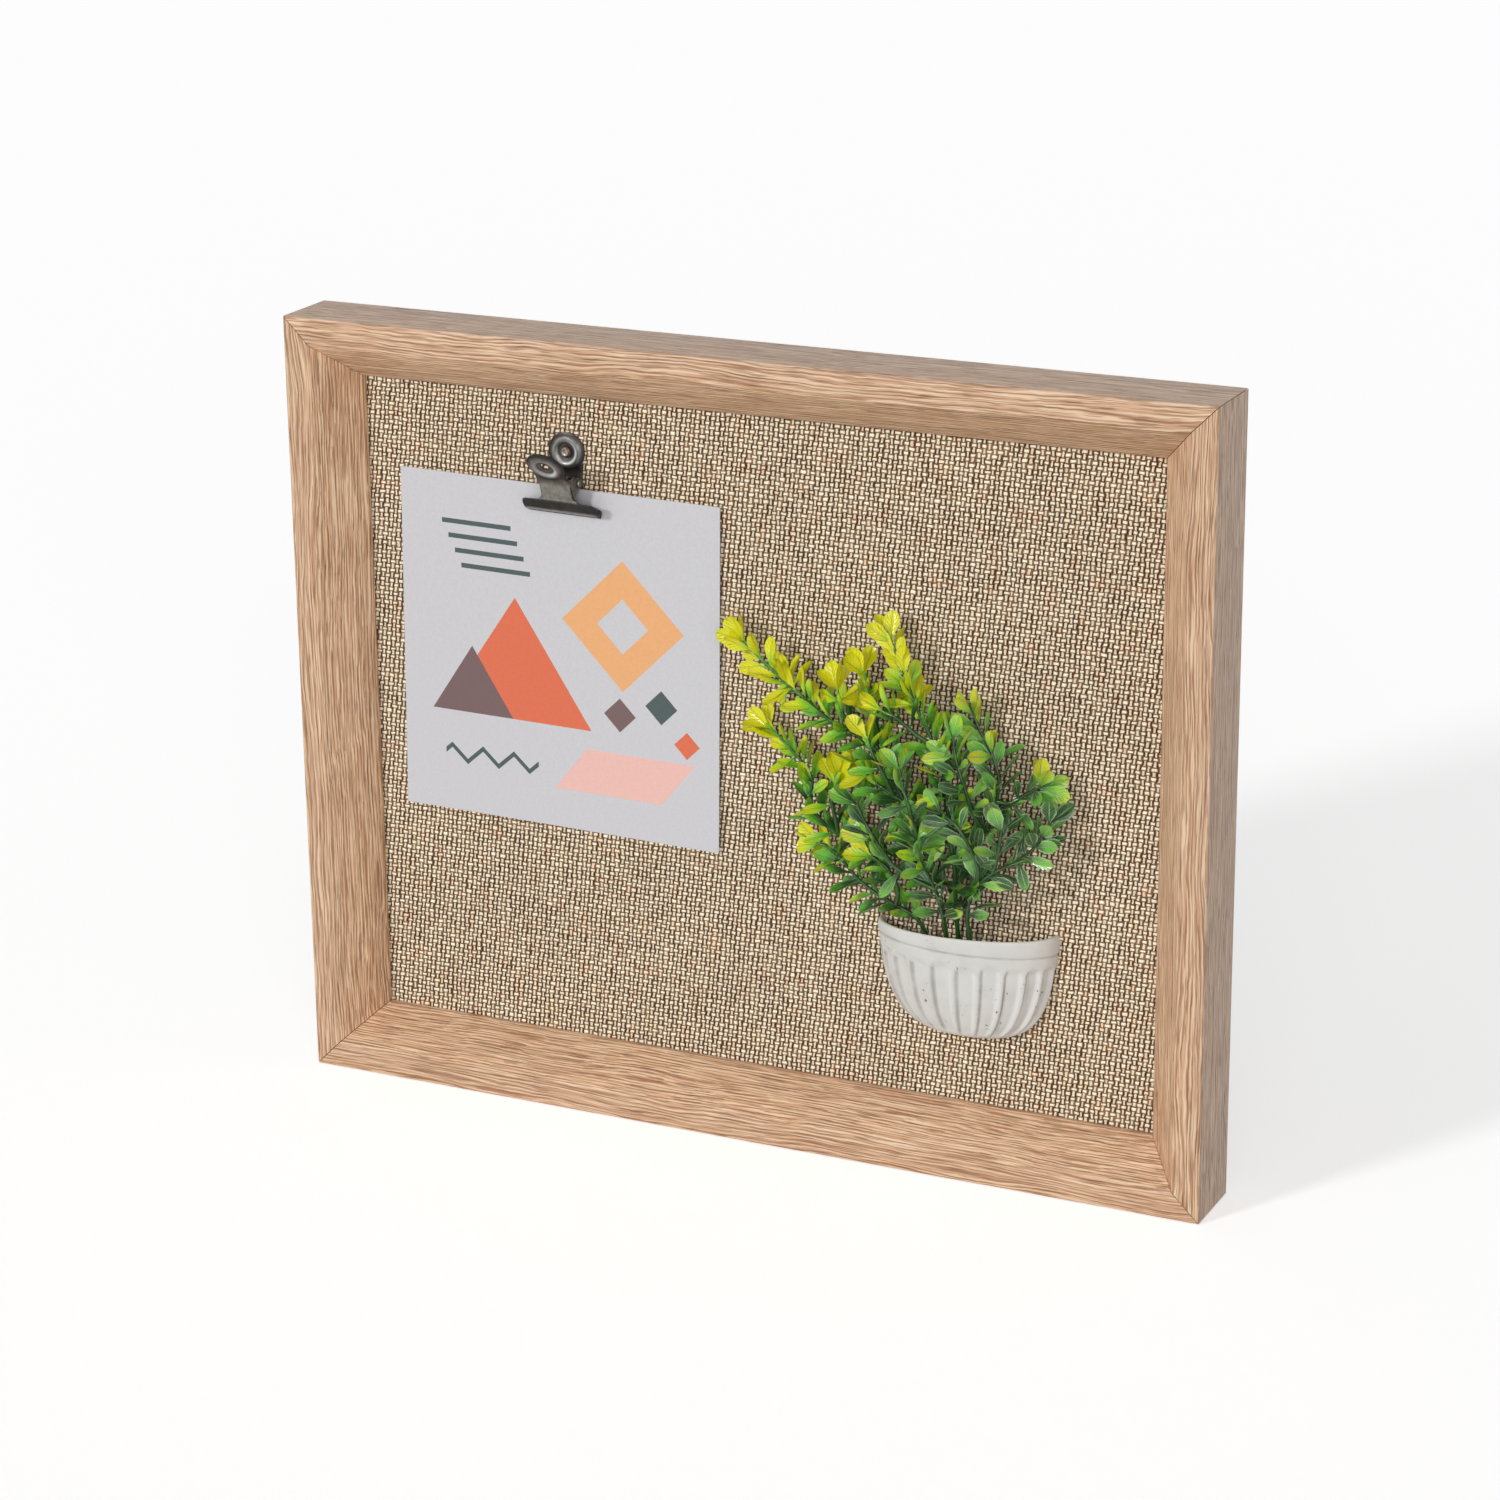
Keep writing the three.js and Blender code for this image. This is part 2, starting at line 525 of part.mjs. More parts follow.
function buildBoard() {
  const group = new THREE.Group();
  const [halfWidth, halfHeight] = [BOARD_WIDTH / 2, BOARD_HEIGHT / 2];
  const edge = LINEN_THICKNESS + SEAT_GAP;
  const [coreX, coreZ] = [halfWidth - edge, halfHeight - edge];
  const [windowX, windowZ] = [halfWidth - HEM_WIDTH, halfHeight - HEM_WIDTH];
  const hemBack = HEM_Y + LINEN_THICKNESS;
  const { x, z } = rivetPlace();
  const shank = toSolid(barAlongY(RIVET_SHANK_RADIUS + SHANK_CLEARANCE, LINEN_Y - 1, BACK_Y, x, z));
  const layer = (x, z, fromY, toY) => toSolid(block([-x, fromY, -z], [x, toY, z]));
  const [pocketX, pocketZ] = [halfWidth - LINEN_THICKNESS, halfHeight - LINEN_THICKNESS];
  const wrapped = layer(halfWidth, halfHeight, LINEN_Y, hemBack)
    .subtract(layer(pocketX, pocketZ, LINEN_Y + LINEN_THICKNESS, HEM_Y))
    .subtract(layer(windowX, windowZ, CORE_Y, BACK_Y))
    .subtract(shank);
  const core = layer(coreX, coreZ, CORE_Y, CORE_Y + CORE_THICKNESS).subtract(shank);
  const panel = layer(halfWidth, halfHeight, PANEL_Y, PANEL_Y + PANEL_THICKNESS);
  group.add(named('linen_cover', wrapped, LINEN));
  group.add(named('core_board', core, GREY_BOARD));
  group.add(named('back_panel', panel, HARDBOARD));
  return group;
}

// Clip. Depths here are forward from the linen, and heights are from the pivot pin.
const RING_INNER = RIVET_HEAD_RADIUS + RING_CLEARANCE;
const RING_OUTER = RING_INNER + RING_WIDTH;
const EAR_RADIUS = RING_OUTER + RING_MARGIN;
const NECK_WIDTH = 2 * (EAR_RADIUS - EAR_SHOULDER);
const COIL_RADIUS = PIN_RADIUS + COIL_CLEARANCE + WIRE_RADIUS;
const REAR_PLATE_FRONT = SEAT_GAP + SHEET_THICKNESS;
const CARD_FRONT = REAR_PLATE_FRONT + CARD_GAP + CARD_THICKNESS;
const LIP_BACK = CARD_FRONT + CARD_GAP - PIVOT_STAND_OFF;
const FRONT_LUG_OUTER = NECK_WIDTH / 2;
const FRONT_LUG_INNER = FRONT_LUG_OUTER - SHEET_THICKNESS;
const REAR_LUG_OUTER = FRONT_LUG_INNER - LUG_GAP;
const REAR_LUG_INNER = REAR_LUG_OUTER - SHEET_THICKNESS;

// A tongue with straight sides and a round ear that has a hole in it
function earOutline(bottom, earMiddle) {
  const half = NECK_WIDTH / 2;
  const shoulder = Math.asin(Math.sqrt(EAR_RADIUS ** 2 - half ** 2) / EAR_RADIUS);
  const outline = new THREE.Shape();
  outline.moveTo(-half, bottom);
  outline.lineTo(half, bottom);
  outline.absarc(0, earMiddle, EAR_RADIUS, -shoulder, HALF_TURN + shoulder, false);
  const hole = new THREE.Path();
  hole.absarc(0, earMiddle, EAR_HOLE_RADIUS, 0, 2 * HALF_TURN, true);
  outline.holes.push(hole);
  return outline;
}

// The neck meets the wide jaw by a fillet on each side
function jawOutline(top) {
  const [neck, jaw, low] = [NECK_WIDTH / 2, JAW_WIDTH / 2, -JAW_DROP - JAW_BEAD_RADIUS];
  const outline = new THREE.Shape();
  outline.moveTo(-jaw, low);
  outline.lineTo(jaw, low);
  outline.lineTo(jaw, -JAW_SHOULDER - JAW_CORNER);
  outline.quadraticCurveTo(jaw, -JAW_SHOULDER, jaw - JAW_CORNER, -JAW_SHOULDER);
  outline.lineTo(neck + JAW_FILLET, -JAW_SHOULDER);
  outline.quadraticCurveTo(neck, -JAW_SHOULDER, neck, -JAW_SHOULDER + JAW_FILLET);
  outline.lineTo(neck, top);
  outline.lineTo(-neck, top);
  outline.lineTo(-neck, -JAW_SHOULDER + JAW_FILLET);
  outline.quadraticCurveTo(-neck, -JAW_SHOULDER, -neck - JAW_FILLET, -JAW_SHOULDER);
  outline.lineTo(-jaw + JAW_CORNER, -JAW_SHOULDER);
  outline.quadraticCurveTo(-jaw, -JAW_SHOULDER, -jaw, -JAW_SHOULDER - JAW_CORNER);
  return outline;
}

// A raised ring pressed into an ear, standing out towards -Y from the ear's face
function earRing(faceY, earMiddle) {
  const crest = RING_ROOT + RING_HEIGHT;
  const section = [
    [RING_INNER, 0], [RING_OUTER, 0], [RING_OUTER, RING_ROOT], [RING_OUTER - RING_SLOPE, crest],
    [RING_INNER + RING_SLOPE, crest], [RING_INNER, RING_ROOT], [RING_INNER, 0],
  ].map(([radius, height]) => new THREE.Vector2(radius, height));
  const ring = new THREE.LatheGeometry(section, 2 * ROUND_SIDES);
  return ring.rotateX(HALF_TURN).translate(0, faceY + RING_ROOT, earMiddle);
}

// A pair of ears folded off a plate to carry the pin. Foot and root are how far forward of the pin the plate
// is at the ear's lower and upper edge.
function lugPair(inner, outer, foot, root) {
  const lug = new THREE.Shape();
  const turn = foot > 0 ? 1 : -1;
  lug.moveTo(foot, -LUG_RADIUS);
  lug.lineTo(0, -LUG_RADIUS);
  lug.absarc(0, 0, LUG_RADIUS, -QUARTER_TURN, QUARTER_TURN, turn > 0);
  lug.lineTo(root, LUG_ROOT_RISE);
  const at = (fromX, toX) => toSolid(sidePlate(lug, fromX, toX).translate(0, -PIVOT_STAND_OFF, 0));
  const bore = toSolid(barAlongX(PIN_RADIUS + PIN_CLEARANCE, -NECK_WIDTH, NECK_WIDTH, -PIVOT_STAND_OFF));
  return at(inner, outer).add(at(-outer, -inner)).subtract(bore);
}

function rearPlateSolid() {
  const ear = toSolid(plate(earOutline(-LUG_RADIUS, REAR_EAR_RISE), -REAR_PLATE_FRONT, -SEAT_GAP));
  const full = toSolid(plate(jawOutline(LUG_RADIUS), -REAR_PLATE_FRONT, -SEAT_GAP));
  const trim = toSolid(block([-JAW_WIDTH, -PIVOT_STAND_OFF, -JAW_DROP], [JAW_WIDTH, 0, LUG_RADIUS]));
  const lugFoot = REAR_PLATE_FRONT - SHEET_THICKNESS / 2 - PIVOT_STAND_OFF;
  const lugs = lugPair(REAR_LUG_INNER, REAR_LUG_OUTER, lugFoot, lugFoot);
  const ring = toSolid(earRing(-REAR_PLATE_FRONT, REAR_EAR_RISE));
  return wasm.Manifold.union([ear, full.intersect(trim), lugs, ring]);
}

function frontPlateSolid() {
  const halfSheet = SHEET_THICKNESS / 2;
  const middle = FRONT_PLATE_OFFSET + halfSheet;
  const beadMiddle = LIP_BACK + JAW_BEAD_RADIUS;
  const beadZ = -JAW_DROP + JAW_BEAD_RADIUS;
  const jawLine = new THREE.CubicBezierCurve(
    new THREE.Vector2(middle, -JAW_SHOULDER + JAW_CORNER),
    new THREE.Vector2(middle + JAW_BULGE, -JAW_SHOULDER),
    new THREE.Vector2(middle + JAW_UNDERCUT, beadZ + JAW_UNDERCUT),
    new THREE.Vector2(beadMiddle, beadZ));
  const bend = middle + NECK_REACH;
  const points = [[bend, BEND_RISE], ...jawLine.getPoints(6).map((point) => [point.x, point.y])];
  const sheet = sidePlate(strip(points, SHEET_THICKNESS), -JAW_WIDTH / 2, JAW_WIDTH / 2);
  const front = plate(jawOutline(FRONT_PLATE_OFFSET), -EAR_RADIUS * 2, EAR_RADIUS);
  const bead = barAlongX(JAW_BEAD_RADIUS, -JAW_WIDTH / 2, JAW_WIDTH / 2, -beadMiddle, beadZ);
  const lean = (geometry) => geometry.rotateX(FRONT_EAR_LEAN).translate(0, -bend, BEND_RISE);
  const ear = lean(plate(earOutline(-halfSheet, FRONT_EAR_REACH), -halfSheet, halfSheet));
  const ring = lean(earRing(-halfSheet, FRONT_EAR_REACH));
  const standOff = (geometry) => toSolid(geometry.translate(0, -PIVOT_STAND_OFF, 0));
  const neckDrop = BEND_RISE + JAW_SHOULDER - JAW_CORNER;
  const foot = bend - (NECK_REACH * (BEND_RISE + LUG_RADIUS)) / neckDrop;
  const lugs = lugPair(FRONT_LUG_INNER, FRONT_LUG_OUTER, foot, bend);
  const bent = standOff(sheet).intersect(standOff(front));
  return wasm.Manifold.union([bent, standOff(bead), standOff(ear), standOff(ring), lugs]);
}

function pinSolid() {
  const headStart = FRONT_LUG_OUTER + SHANK_CLEARANCE;
  const headEnd = headStart + PIN_HEAD_LENGTH;
  const shank = toSolid(barAlongX(PIN_RADIUS, -headEnd, headEnd, -PIVOT_STAND_OFF));
  const head = (from, to) => toSolid(barAlongX(PIN_HEAD_RADIUS, from, to, -PIVOT_STAND_OFF));
  return shank.add(head(headStart, headEnd)).add(head(-headEnd, -headStart));
}

// The wire comes down the rear plate, winds round the pin and leaves up the front plate
class SpringPath extends THREE.Curve {
  constructor() {
    super();
    this.startAngle = HALF_TURN;
    this.angle = HALF_TURN - FRONT_LEG_LEAN + 2 * HALF_TURN * COIL_WHOLE_TURNS;
    this.climb = (COIL_PITCH * this.angle) / (2 * HALF_TURN);
    this.coilLength = Math.hypot(COIL_RADIUS * this.angle, this.climb);
    this.length = REAR_LEG_LENGTH + this.coilLength + FRONT_LEG_LENGTH;
  }

  coilPoint(share) {
    const angle = this.startAngle + share * this.angle;
    const forward = COIL_RADIUS * Math.cos(angle) + PIVOT_STAND_OFF;
    return new THREE.Vector3((share - 0.5) * this.climb, -forward, COIL_RADIUS * Math.sin(angle));
  }

  getPoint(t, target = new THREE.Vector3()) {
    const run = t * this.length;
    if (run < REAR_LEG_LENGTH) {
      return target.copy(this.coilPoint(0)).add(new THREE.Vector3(0, 0, REAR_LEG_LENGTH - run));
    }
    const share = (run - REAR_LEG_LENGTH) / this.coilLength;
    if (share <= 1) return target.copy(this.coilPoint(share));
    const past = run - REAR_LEG_LENGTH - this.coilLength;
    const leg = new THREE.Vector3(0, -Math.sin(FRONT_LEG_LEAN), Math.cos(FRONT_LEG_LEAN));
    return target.copy(this.coilPoint(1)).add(leg.multiplyScalar(past));
  }
}

function springSolid() {
  const path = new SpringPath();
  const steps = Math.round((path.length / path.coilLength) * (path.angle / (2 * HALF_TURN)) * STEPS_PER_TURN);
  const section = regular(WIRE_RADIUS, WIRE_SIDES);
  const points = path.getSpacedPoints(4 * steps);
  const turnRun = (2 * HALF_TURN * COIL_RADIUS) / 2;
  let least = Infinity;
  points.forEach((point, i) => points.slice(i + 1).forEach((other, k) => {
    const run = ((k + 1) * path.length) / (points.length - 1);
    if (run > turnRun) least = Math.min(least, point.distanceTo(other) - 2 * WIRE_RADIUS);
  }));
  console.log(`clip_spring: least gap between turns ${least.toFixed(2)} mm`);
  return toSolid(new THREE.ExtrudeGeometry(section, { steps, extrudePath: path, bevelEnabled: false }));
}

function rivetSolid() {
  const shank = REAR_PLATE_FRONT + SEAT_GAP + (CORE_Y + CORE_THICKNESS - LINEN_Y);
  const rivet = fastener(RIVET_HEAD_RADIUS, RIVET_HEAD_HEIGHT, RIVET_SHANK_RADIUS, shank);
  return toSolid(rivet.rotateX(HALF_TURN).translate(0, -REAR_PLATE_FRONT - SEAT_GAP, REAR_EAR_RISE));
}

function cardSolid() {
  const half = CARD_SIZE / 2;
  const cardBack = -REAR_PLATE_FRONT - CARD_GAP;
  return toSolid(block([CARD_SHIFT - half, cardBack - CARD_THICKNESS, CARD_TOP - CARD_SIZE],
    [CARD_SHIFT + half, cardBack, CARD_TOP]));
}

function placeOnClip(object) {
  object.position.set(CLIP_X, LINEN_Y, CLIP_Z);
  object.rotation.y = CLIP_LEAN;
  return object;
}

function buildClip() {
  const group = placeOnClip(new THREE.Group());
  group.add(named('clip_rear_plate', rearPlateSolid(), GUNMETAL));
  group.add(named('clip_front_plate', frontPlateSolid(), GUNMETAL));
  group.add(named('clip_pivot_pin', pinSolid(), GUNMETAL));
  group.add(named('clip_spring', springSolid(), BRIGHT_STEEL));
  group.add(named('clip_rivet', rivetSolid(), BRIGHT_STEEL));
  group.add(named('photo_card', cardSolid(), CARD_STOCK));
  return group;
}

// Pot. Heights are down from the rim. The bowl's section is turned round, flattened to the pot's projection,
// fluted below the rim band, and cut along the linen.
function bowlCurve(inset) {
  return new THREE.QuadraticBezierCurve(
    new THREE.Vector2(POT_BASE_HALF_WIDTH - inset, inset - POT_HEIGHT),
    new THREE.Vector2(POT_HALF_WIDTH - RIM_PROUD - BELLY_INSET - inset, inset - BELLY_DEPTH),
    new THREE.Vector2(POT_HALF_WIDTH - RIM_PROUD - inset, -RIM_BAND));
}

// How deep the flutes are at a height: they fade in under the smooth zone and fade out at the base
function fluteShare(height) {
  const top = THREE.MathUtils.smoothstep(-height, FLUTE_TOP, FLUTE_TOP + FLUTE_FADE);
  const bottom = THREE.MathUtils.smoothstep(height + POT_HEIGHT, 0, FLUTE_FADE);
  return top * bottom;
}

// The hand-cut rim isn't level: it stands higher towards its right end
function rimLift(x, z) {
  return z > -WELD ? (RIM_RISE * (x + POT_HALF_WIDTH)) / (2 * POT_HALF_WIDTH) : 0;
}

// Turns a section round the pot's axis. The first points are the outside, the rest the hollow.
function turnedBowl(section, outsideCount, segments) {
  const bowl = new THREE.LatheGeometry(section, segments).rotateX(QUARTER_TURN);
  const place = bowl.attributes.position;
  for (let i = 0; i < place.count; i += 1) {
    const outside = i % section.length < outsideCount;
    const flatten = outside ? POT_PROJECTION / POT_HALF_WIDTH
      : (POT_PROJECTION - POT_WALL) / (POT_HALF_WIDTH - POT_WALL);
    const [x, y, z] = [place.getX(i), place.getY(i), place.getZ(i)];
    const wave = 0.5 - 0.5 * Math.cos(2 * FLUTE_COUNT * Math.atan2(y, x));
    const radius = Math.max(Math.hypot(x, y), WELD);
    const scale = outside ? 1 - (FLUTE_DEPTH * fluteShare(z) * (1 - wave)) / radius : 1;
    place.setXYZ(i, x * scale, y * scale * flatten, z + rimLift(x, z));
  }
  return toSolid(bowl);
}

function potSolid() {
  const outside = bowlCurve(0).getPoints(7);
  const hollow = bowlCurve(POT_WALL).getPoints(4).reverse();
  const section = [
    new THREE.Vector2(0, -POT_HEIGHT), ...outside, new THREE.Vector2(POT_HALF_WIDTH, -RIM_BAND),
    new THREE.Vector2(POT_HALF_WIDTH, 0), new THREE.Vector2(POT_HALF_WIDTH - POT_WALL, 0), ...hollow,
    new THREE.Vector2(0, POT_WALL - POT_HEIGHT),
  ];
  const reach = 2 * POT_HALF_WIDTH;
  const front = toSolid(block([-reach, -reach, -reach], [reach, 0, reach]));
  const segments = 2 * FLUTE_COUNT * POT_SEGMENTS_PER_FLUTE;
  return turnedBowl(section, outside.length + 3, segments).intersect(front);
}

function stemFoot(sprig) {
  const [sideways, depthShare] = sprig.foot;
  return [sideways * ROUTE_STEP, -depthShare * (POT_PROJECTION - POT_WALL)];
}

function plugSolid() {
  const hollow = bowlCurve(POT_WALL + PLUG_CLEARANCE).getPoints(6).filter((point) => point.y < -PLUG_DROP);
  const section = [
    new THREE.Vector2(0, hollow[0].y), ...hollow, new THREE.Vector2(hollow[hollow.length - 1].x, -PLUG_DROP),
    new THREE.Vector2(0, -PLUG_DROP),
  ];
  const front = block([-POT_HALF_WIDTH, -POT_PROJECTION, -POT_HEIGHT], [POT_HALF_WIDTH, -SEAT_GAP, 0]);
  const bare = turnedBowl(section, 0, 2 * ROUND_SIDES).intersect(toSolid(front));
  return SPRIGS.reduce((plug, sprig) => {
    const [x, y] = stemFoot(sprig);
    const hole = new THREE.CylinderGeometry(
      STEM_RADIUS + STEM_CLEARANCE, STEM_RADIUS + STEM_CLEARANCE, 2 * STEM_HOLE_DEPTH, ROUND_SIDES / 2);
    return plug.subtract(toSolid(hole.rotateX(QUARTER_TURN).translate(x, y, -PLUG_DROP)));
  }, bare);
}

// Sprigs. The main shoot stands in its hole in the plug and then follows its route. A side shoot starts on
// the middle line of the shoot that it leaves.
function shootPaths(sprig) {
  const [x, y] = stemFoot(sprig);
  const holeEnd = -PLUG_DROP - STEM_HOLE_DEPTH + STEM_CLEARANCE;
  const foot = [[x, y, holeEnd], [x, y, -PLUG_DROP - STEM_HOLE_DEPTH / 3], [x, y, -PLUG_DROP / 2]];
  const paths = [];
  for (const shoot of sprig.shoots) {
    const route = shoot.route.map(([sideways, forward, up]) => (
      new THREE.Vector3(sideways, -forward, up).multiplyScalar(ROUTE_STEP)));
    const start = shoot.from === undefined ? foot.map((point) => new THREE.Vector3(...point))
      : [paths[shoot.of].getPointAt(shoot.from)];
    paths.push(new THREE.CatmullRomCurve3([...start, ...route], false, 'centripetal'));
  }
  return paths;
}

function stemSolid(path) {
  const steps = Math.max(Math.round(path.getLength() / STEM_STEP), 2);
  const section = regular(STEM_RADIUS, STEM_SIDES);
  return toSolid(new THREE.ExtrudeGeometry(section, { steps, extrudePath: path, bevelEnabled: false }));
}

// A spoon-shaped blade along X, from a distance off the stem's middle line, grown on every side by a margin
function leafBlade(length, from, margin) {
  const half = (length * LEAF_WIDTH_RATIO) / 2 + margin;
  const end = length + margin;
  const [widest, tip] = [end * LEAF_WIDEST_SHARE, half * LEAF_TIP_SHARE];
  const outline = polygon([[from, -PETIOLE_HALF], [widest, -half], [end, -tip], [end, tip], [widest, half],
    [from, PETIOLE_HALF]]);
  const depth = LEAF_THICKNESS + 2 * margin;
  return new THREE.ExtrudeGeometry(outline, { depth, bevelEnabled: false }).translate(0, 0, -depth / 2);
}

// The places of a shoot's leaves: opposite pairs, each turned a quarter from the last, and one at the tip
function leafPlaces(start, path) {
  const places = [];
  const add = (share, turn, spread, length) => {
    const along = path.getTangentAt(share);
    const sideways = new THREE.Vector3().crossVectors(along, new THREE.Vector3(0, -1, 0)).normalize();
    const outward = new THREE.Vector3().crossVectors(sideways, along);
    const lateral = sideways.multiplyScalar(Math.cos(turn)).addScaledVector(outward, Math.sin(turn));
    const [cosine, sine] = [Math.cos(spread), Math.sin(spread)];
    const direction = along.clone().multiplyScalar(cosine).addScaledVector(lateral, sine);
    const normal = along.clone().multiplyScalar(sine).addScaledVector(lateral, -cosine);
    normal.lerp(new THREE.Vector3(0, -1, 0), LEAF_FACING);
    normal.addScaledVector(direction, -normal.dot(direction)).normalize();
    const across = new THREE.Vector3().crossVectors(normal, direction);
    const matrix = new THREE.Matrix4().makeBasis(direction, across, normal);
    places.push({ matrix: matrix.setPosition(path.getPointAt(share)), length });
  };
  const pairs = Math.max(Math.round((path.getLength() * (1 - start)) / PAIR_SPACING), 2);
  for (let pair = 0; pair < pairs; pair += 1) {
    const age = pair / (pairs - 1);
    const share = THREE.MathUtils.lerp(start, LAST_PAIR_SHARE, age);
    const spread = THREE.MathUtils.lerp(LEAF_SPREAD, TIP_LEAF_SPREAD, age);
    const length = THREE.MathUtils.lerp(LEAF_LENGTH, TIP_LEAF_LENGTH, age);
    const turn = PAIR_START_TURN + pair * PAIR_TURN;
    add(share, turn, spread, length);
    add(share, turn + HALF_TURN, spread, length);
  }
  add(TIP_LEAF_SHARE, PAIR_START_TURN, 0, TIP_LEAF_LENGTH);
  return places;
}

// A leaf grows only where it keeps clear of the linen, the card, the pot, the other stems and the leaves
// before it
function buildPlant() {
  const group = new THREE.Group();
  group.position.set(POT_X, LINEN_Y - SEAT_GAP, POT_RIM_Z);
  const pot = potSolid();
  const card = placeOnClip(named('card_place', cardSolid(), CARD_STOCK));
  card.position.sub(group.position);
  card.updateMatrix();
  group.add(named('half_pot', pot, GLAZE), named('foam_plug', plugSolid(), FOAM));
  const paths = SPRIGS.map(shootPaths);
  const stems = paths.map((shoots) => wasm.Manifold.union(shoots.map(stemSolid)));
  let grown = pot.add(toSolid(card.geometry.applyMatrix4(card.matrix)));
  SPRIGS.forEach((sprig, index) => {
    const others = wasm.Manifold.union([grown, ...stems.filter((_, i) => i !== index)]);
    let leaves = wasm.Manifold.union([]);
    let solid = stems[index];
    sprig.shoots.forEach((shoot, which) => {
      for (const { matrix, length } of leafPlaces(shoot.start, paths[index][which])) {
        const guard = toSolid(leafBlade(length, LEAF_GUARD_START, LEAF_GUARD).applyMatrix4(matrix));
        const inFront = guard.boundingBox().max[1] < 0;
        if (!inFront || !guard.intersect(others).isEmpty() || !guard.intersect(leaves).isEmpty()) continue;
        const leaf = toSolid(leafBlade(length, 0, 0).applyMatrix4(matrix));
        leaves = leaves.add(leaf);
        solid = solid.add(leaf);
      }
    });
    grown = grown.add(solid);
    group.add(named(sprig.name, solid, BOXWOOD));
  });
  return group;
}

const clipCollageFrame = new THREE.Group();
clipCollageFrame.name = 'clip_collage_frame';
const framed = new THREE.Group();
framed.position.z = FRAME_MIDDLE_Z;
framed.add(buildFrame(), buildBoard(), buildBackFittings());
clipCollageFrame.add(framed, buildClip(), buildPlant());

export default clipCollageFrame;
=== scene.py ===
"""Dresses the clip collage frame: oak rails, stretched linen, a spring clip with its card, and a potted plant.

Every piece is modelled over its CAD node, and every one but the spring wire rides the same body. Lengths are metres in
the part's own frame:
the origin is the middle of the underside, the front faces -Y and Z is up.
"""

import json
import math
import random
from collections import namedtuple

import bmesh
import bpy
from mathutils import Matrix, Vector, kdtree, noise

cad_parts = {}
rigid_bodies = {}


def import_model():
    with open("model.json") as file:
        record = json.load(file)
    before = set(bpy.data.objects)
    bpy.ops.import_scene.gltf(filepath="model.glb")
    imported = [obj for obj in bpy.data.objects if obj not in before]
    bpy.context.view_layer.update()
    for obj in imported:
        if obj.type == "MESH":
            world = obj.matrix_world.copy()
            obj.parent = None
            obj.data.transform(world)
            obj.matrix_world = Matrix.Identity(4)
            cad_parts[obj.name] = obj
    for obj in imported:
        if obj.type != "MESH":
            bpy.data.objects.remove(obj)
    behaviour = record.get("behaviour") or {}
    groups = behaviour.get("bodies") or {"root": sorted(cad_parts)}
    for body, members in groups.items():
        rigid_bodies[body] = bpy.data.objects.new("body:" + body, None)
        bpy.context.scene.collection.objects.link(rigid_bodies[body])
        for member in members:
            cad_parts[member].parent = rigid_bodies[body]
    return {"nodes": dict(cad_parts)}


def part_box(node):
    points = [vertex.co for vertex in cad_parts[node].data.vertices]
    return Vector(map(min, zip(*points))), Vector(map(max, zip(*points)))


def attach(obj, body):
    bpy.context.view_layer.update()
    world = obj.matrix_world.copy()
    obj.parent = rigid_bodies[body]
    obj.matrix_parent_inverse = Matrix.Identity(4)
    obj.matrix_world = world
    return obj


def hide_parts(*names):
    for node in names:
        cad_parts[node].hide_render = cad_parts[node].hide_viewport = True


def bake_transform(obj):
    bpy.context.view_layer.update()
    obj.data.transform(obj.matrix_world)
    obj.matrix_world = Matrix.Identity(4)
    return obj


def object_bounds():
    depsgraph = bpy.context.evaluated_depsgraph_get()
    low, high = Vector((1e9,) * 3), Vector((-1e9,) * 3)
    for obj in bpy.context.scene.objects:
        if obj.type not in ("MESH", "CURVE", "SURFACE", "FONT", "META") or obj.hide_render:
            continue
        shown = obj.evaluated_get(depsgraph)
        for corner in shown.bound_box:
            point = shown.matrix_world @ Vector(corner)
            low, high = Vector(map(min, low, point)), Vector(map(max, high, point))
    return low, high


bl_info = {
    "name": "Clip Collage Frame",
    "version": (1, 0, 0),
    "blender": (4, 5, 0),
    "location": "View3D > Sidebar > Collage Frame",
    "description": "Builds the looks of a linen board frame with a clip, a card and a half pot of boxwood",
    "category": "Object",
}

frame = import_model()
CAD_LOW, CAD_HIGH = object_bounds()

MM = 0.001
FRONT = Vector((0, -1, 0))
SIDES = ("bottom", "left", "top", "right")


# Settings


def length(name, description, default):
    return bpy.props.FloatProperty(
        name=name, description=description, default=default, min=0, unit="LENGTH", precision=5)


def share(name, description, default, most=1):
    return bpy.props.FloatProperty(name=name, description=description, default=default, min=0, max=most)


def angle(name, description, degrees):
    return bpy.props.FloatProperty(
        name=name, description=description, default=math.radians(degrees), subtype="ANGLE")


def tint(name, description, *display):
    """A colour given as display red, green and blue of 0 to 255, kept as scene-linear."""
    parts = [value / 255 for value in display]
    linear = [p / 12.92 if p <= 0.04045 else ((p + 0.055) / 1.055) ** 2.4 for p in parts]
    return bpy.props.FloatVectorProperty(
        name=name, description=description, default=(*linear, 1), subtype="COLOR", size=4, min=0, max=1)


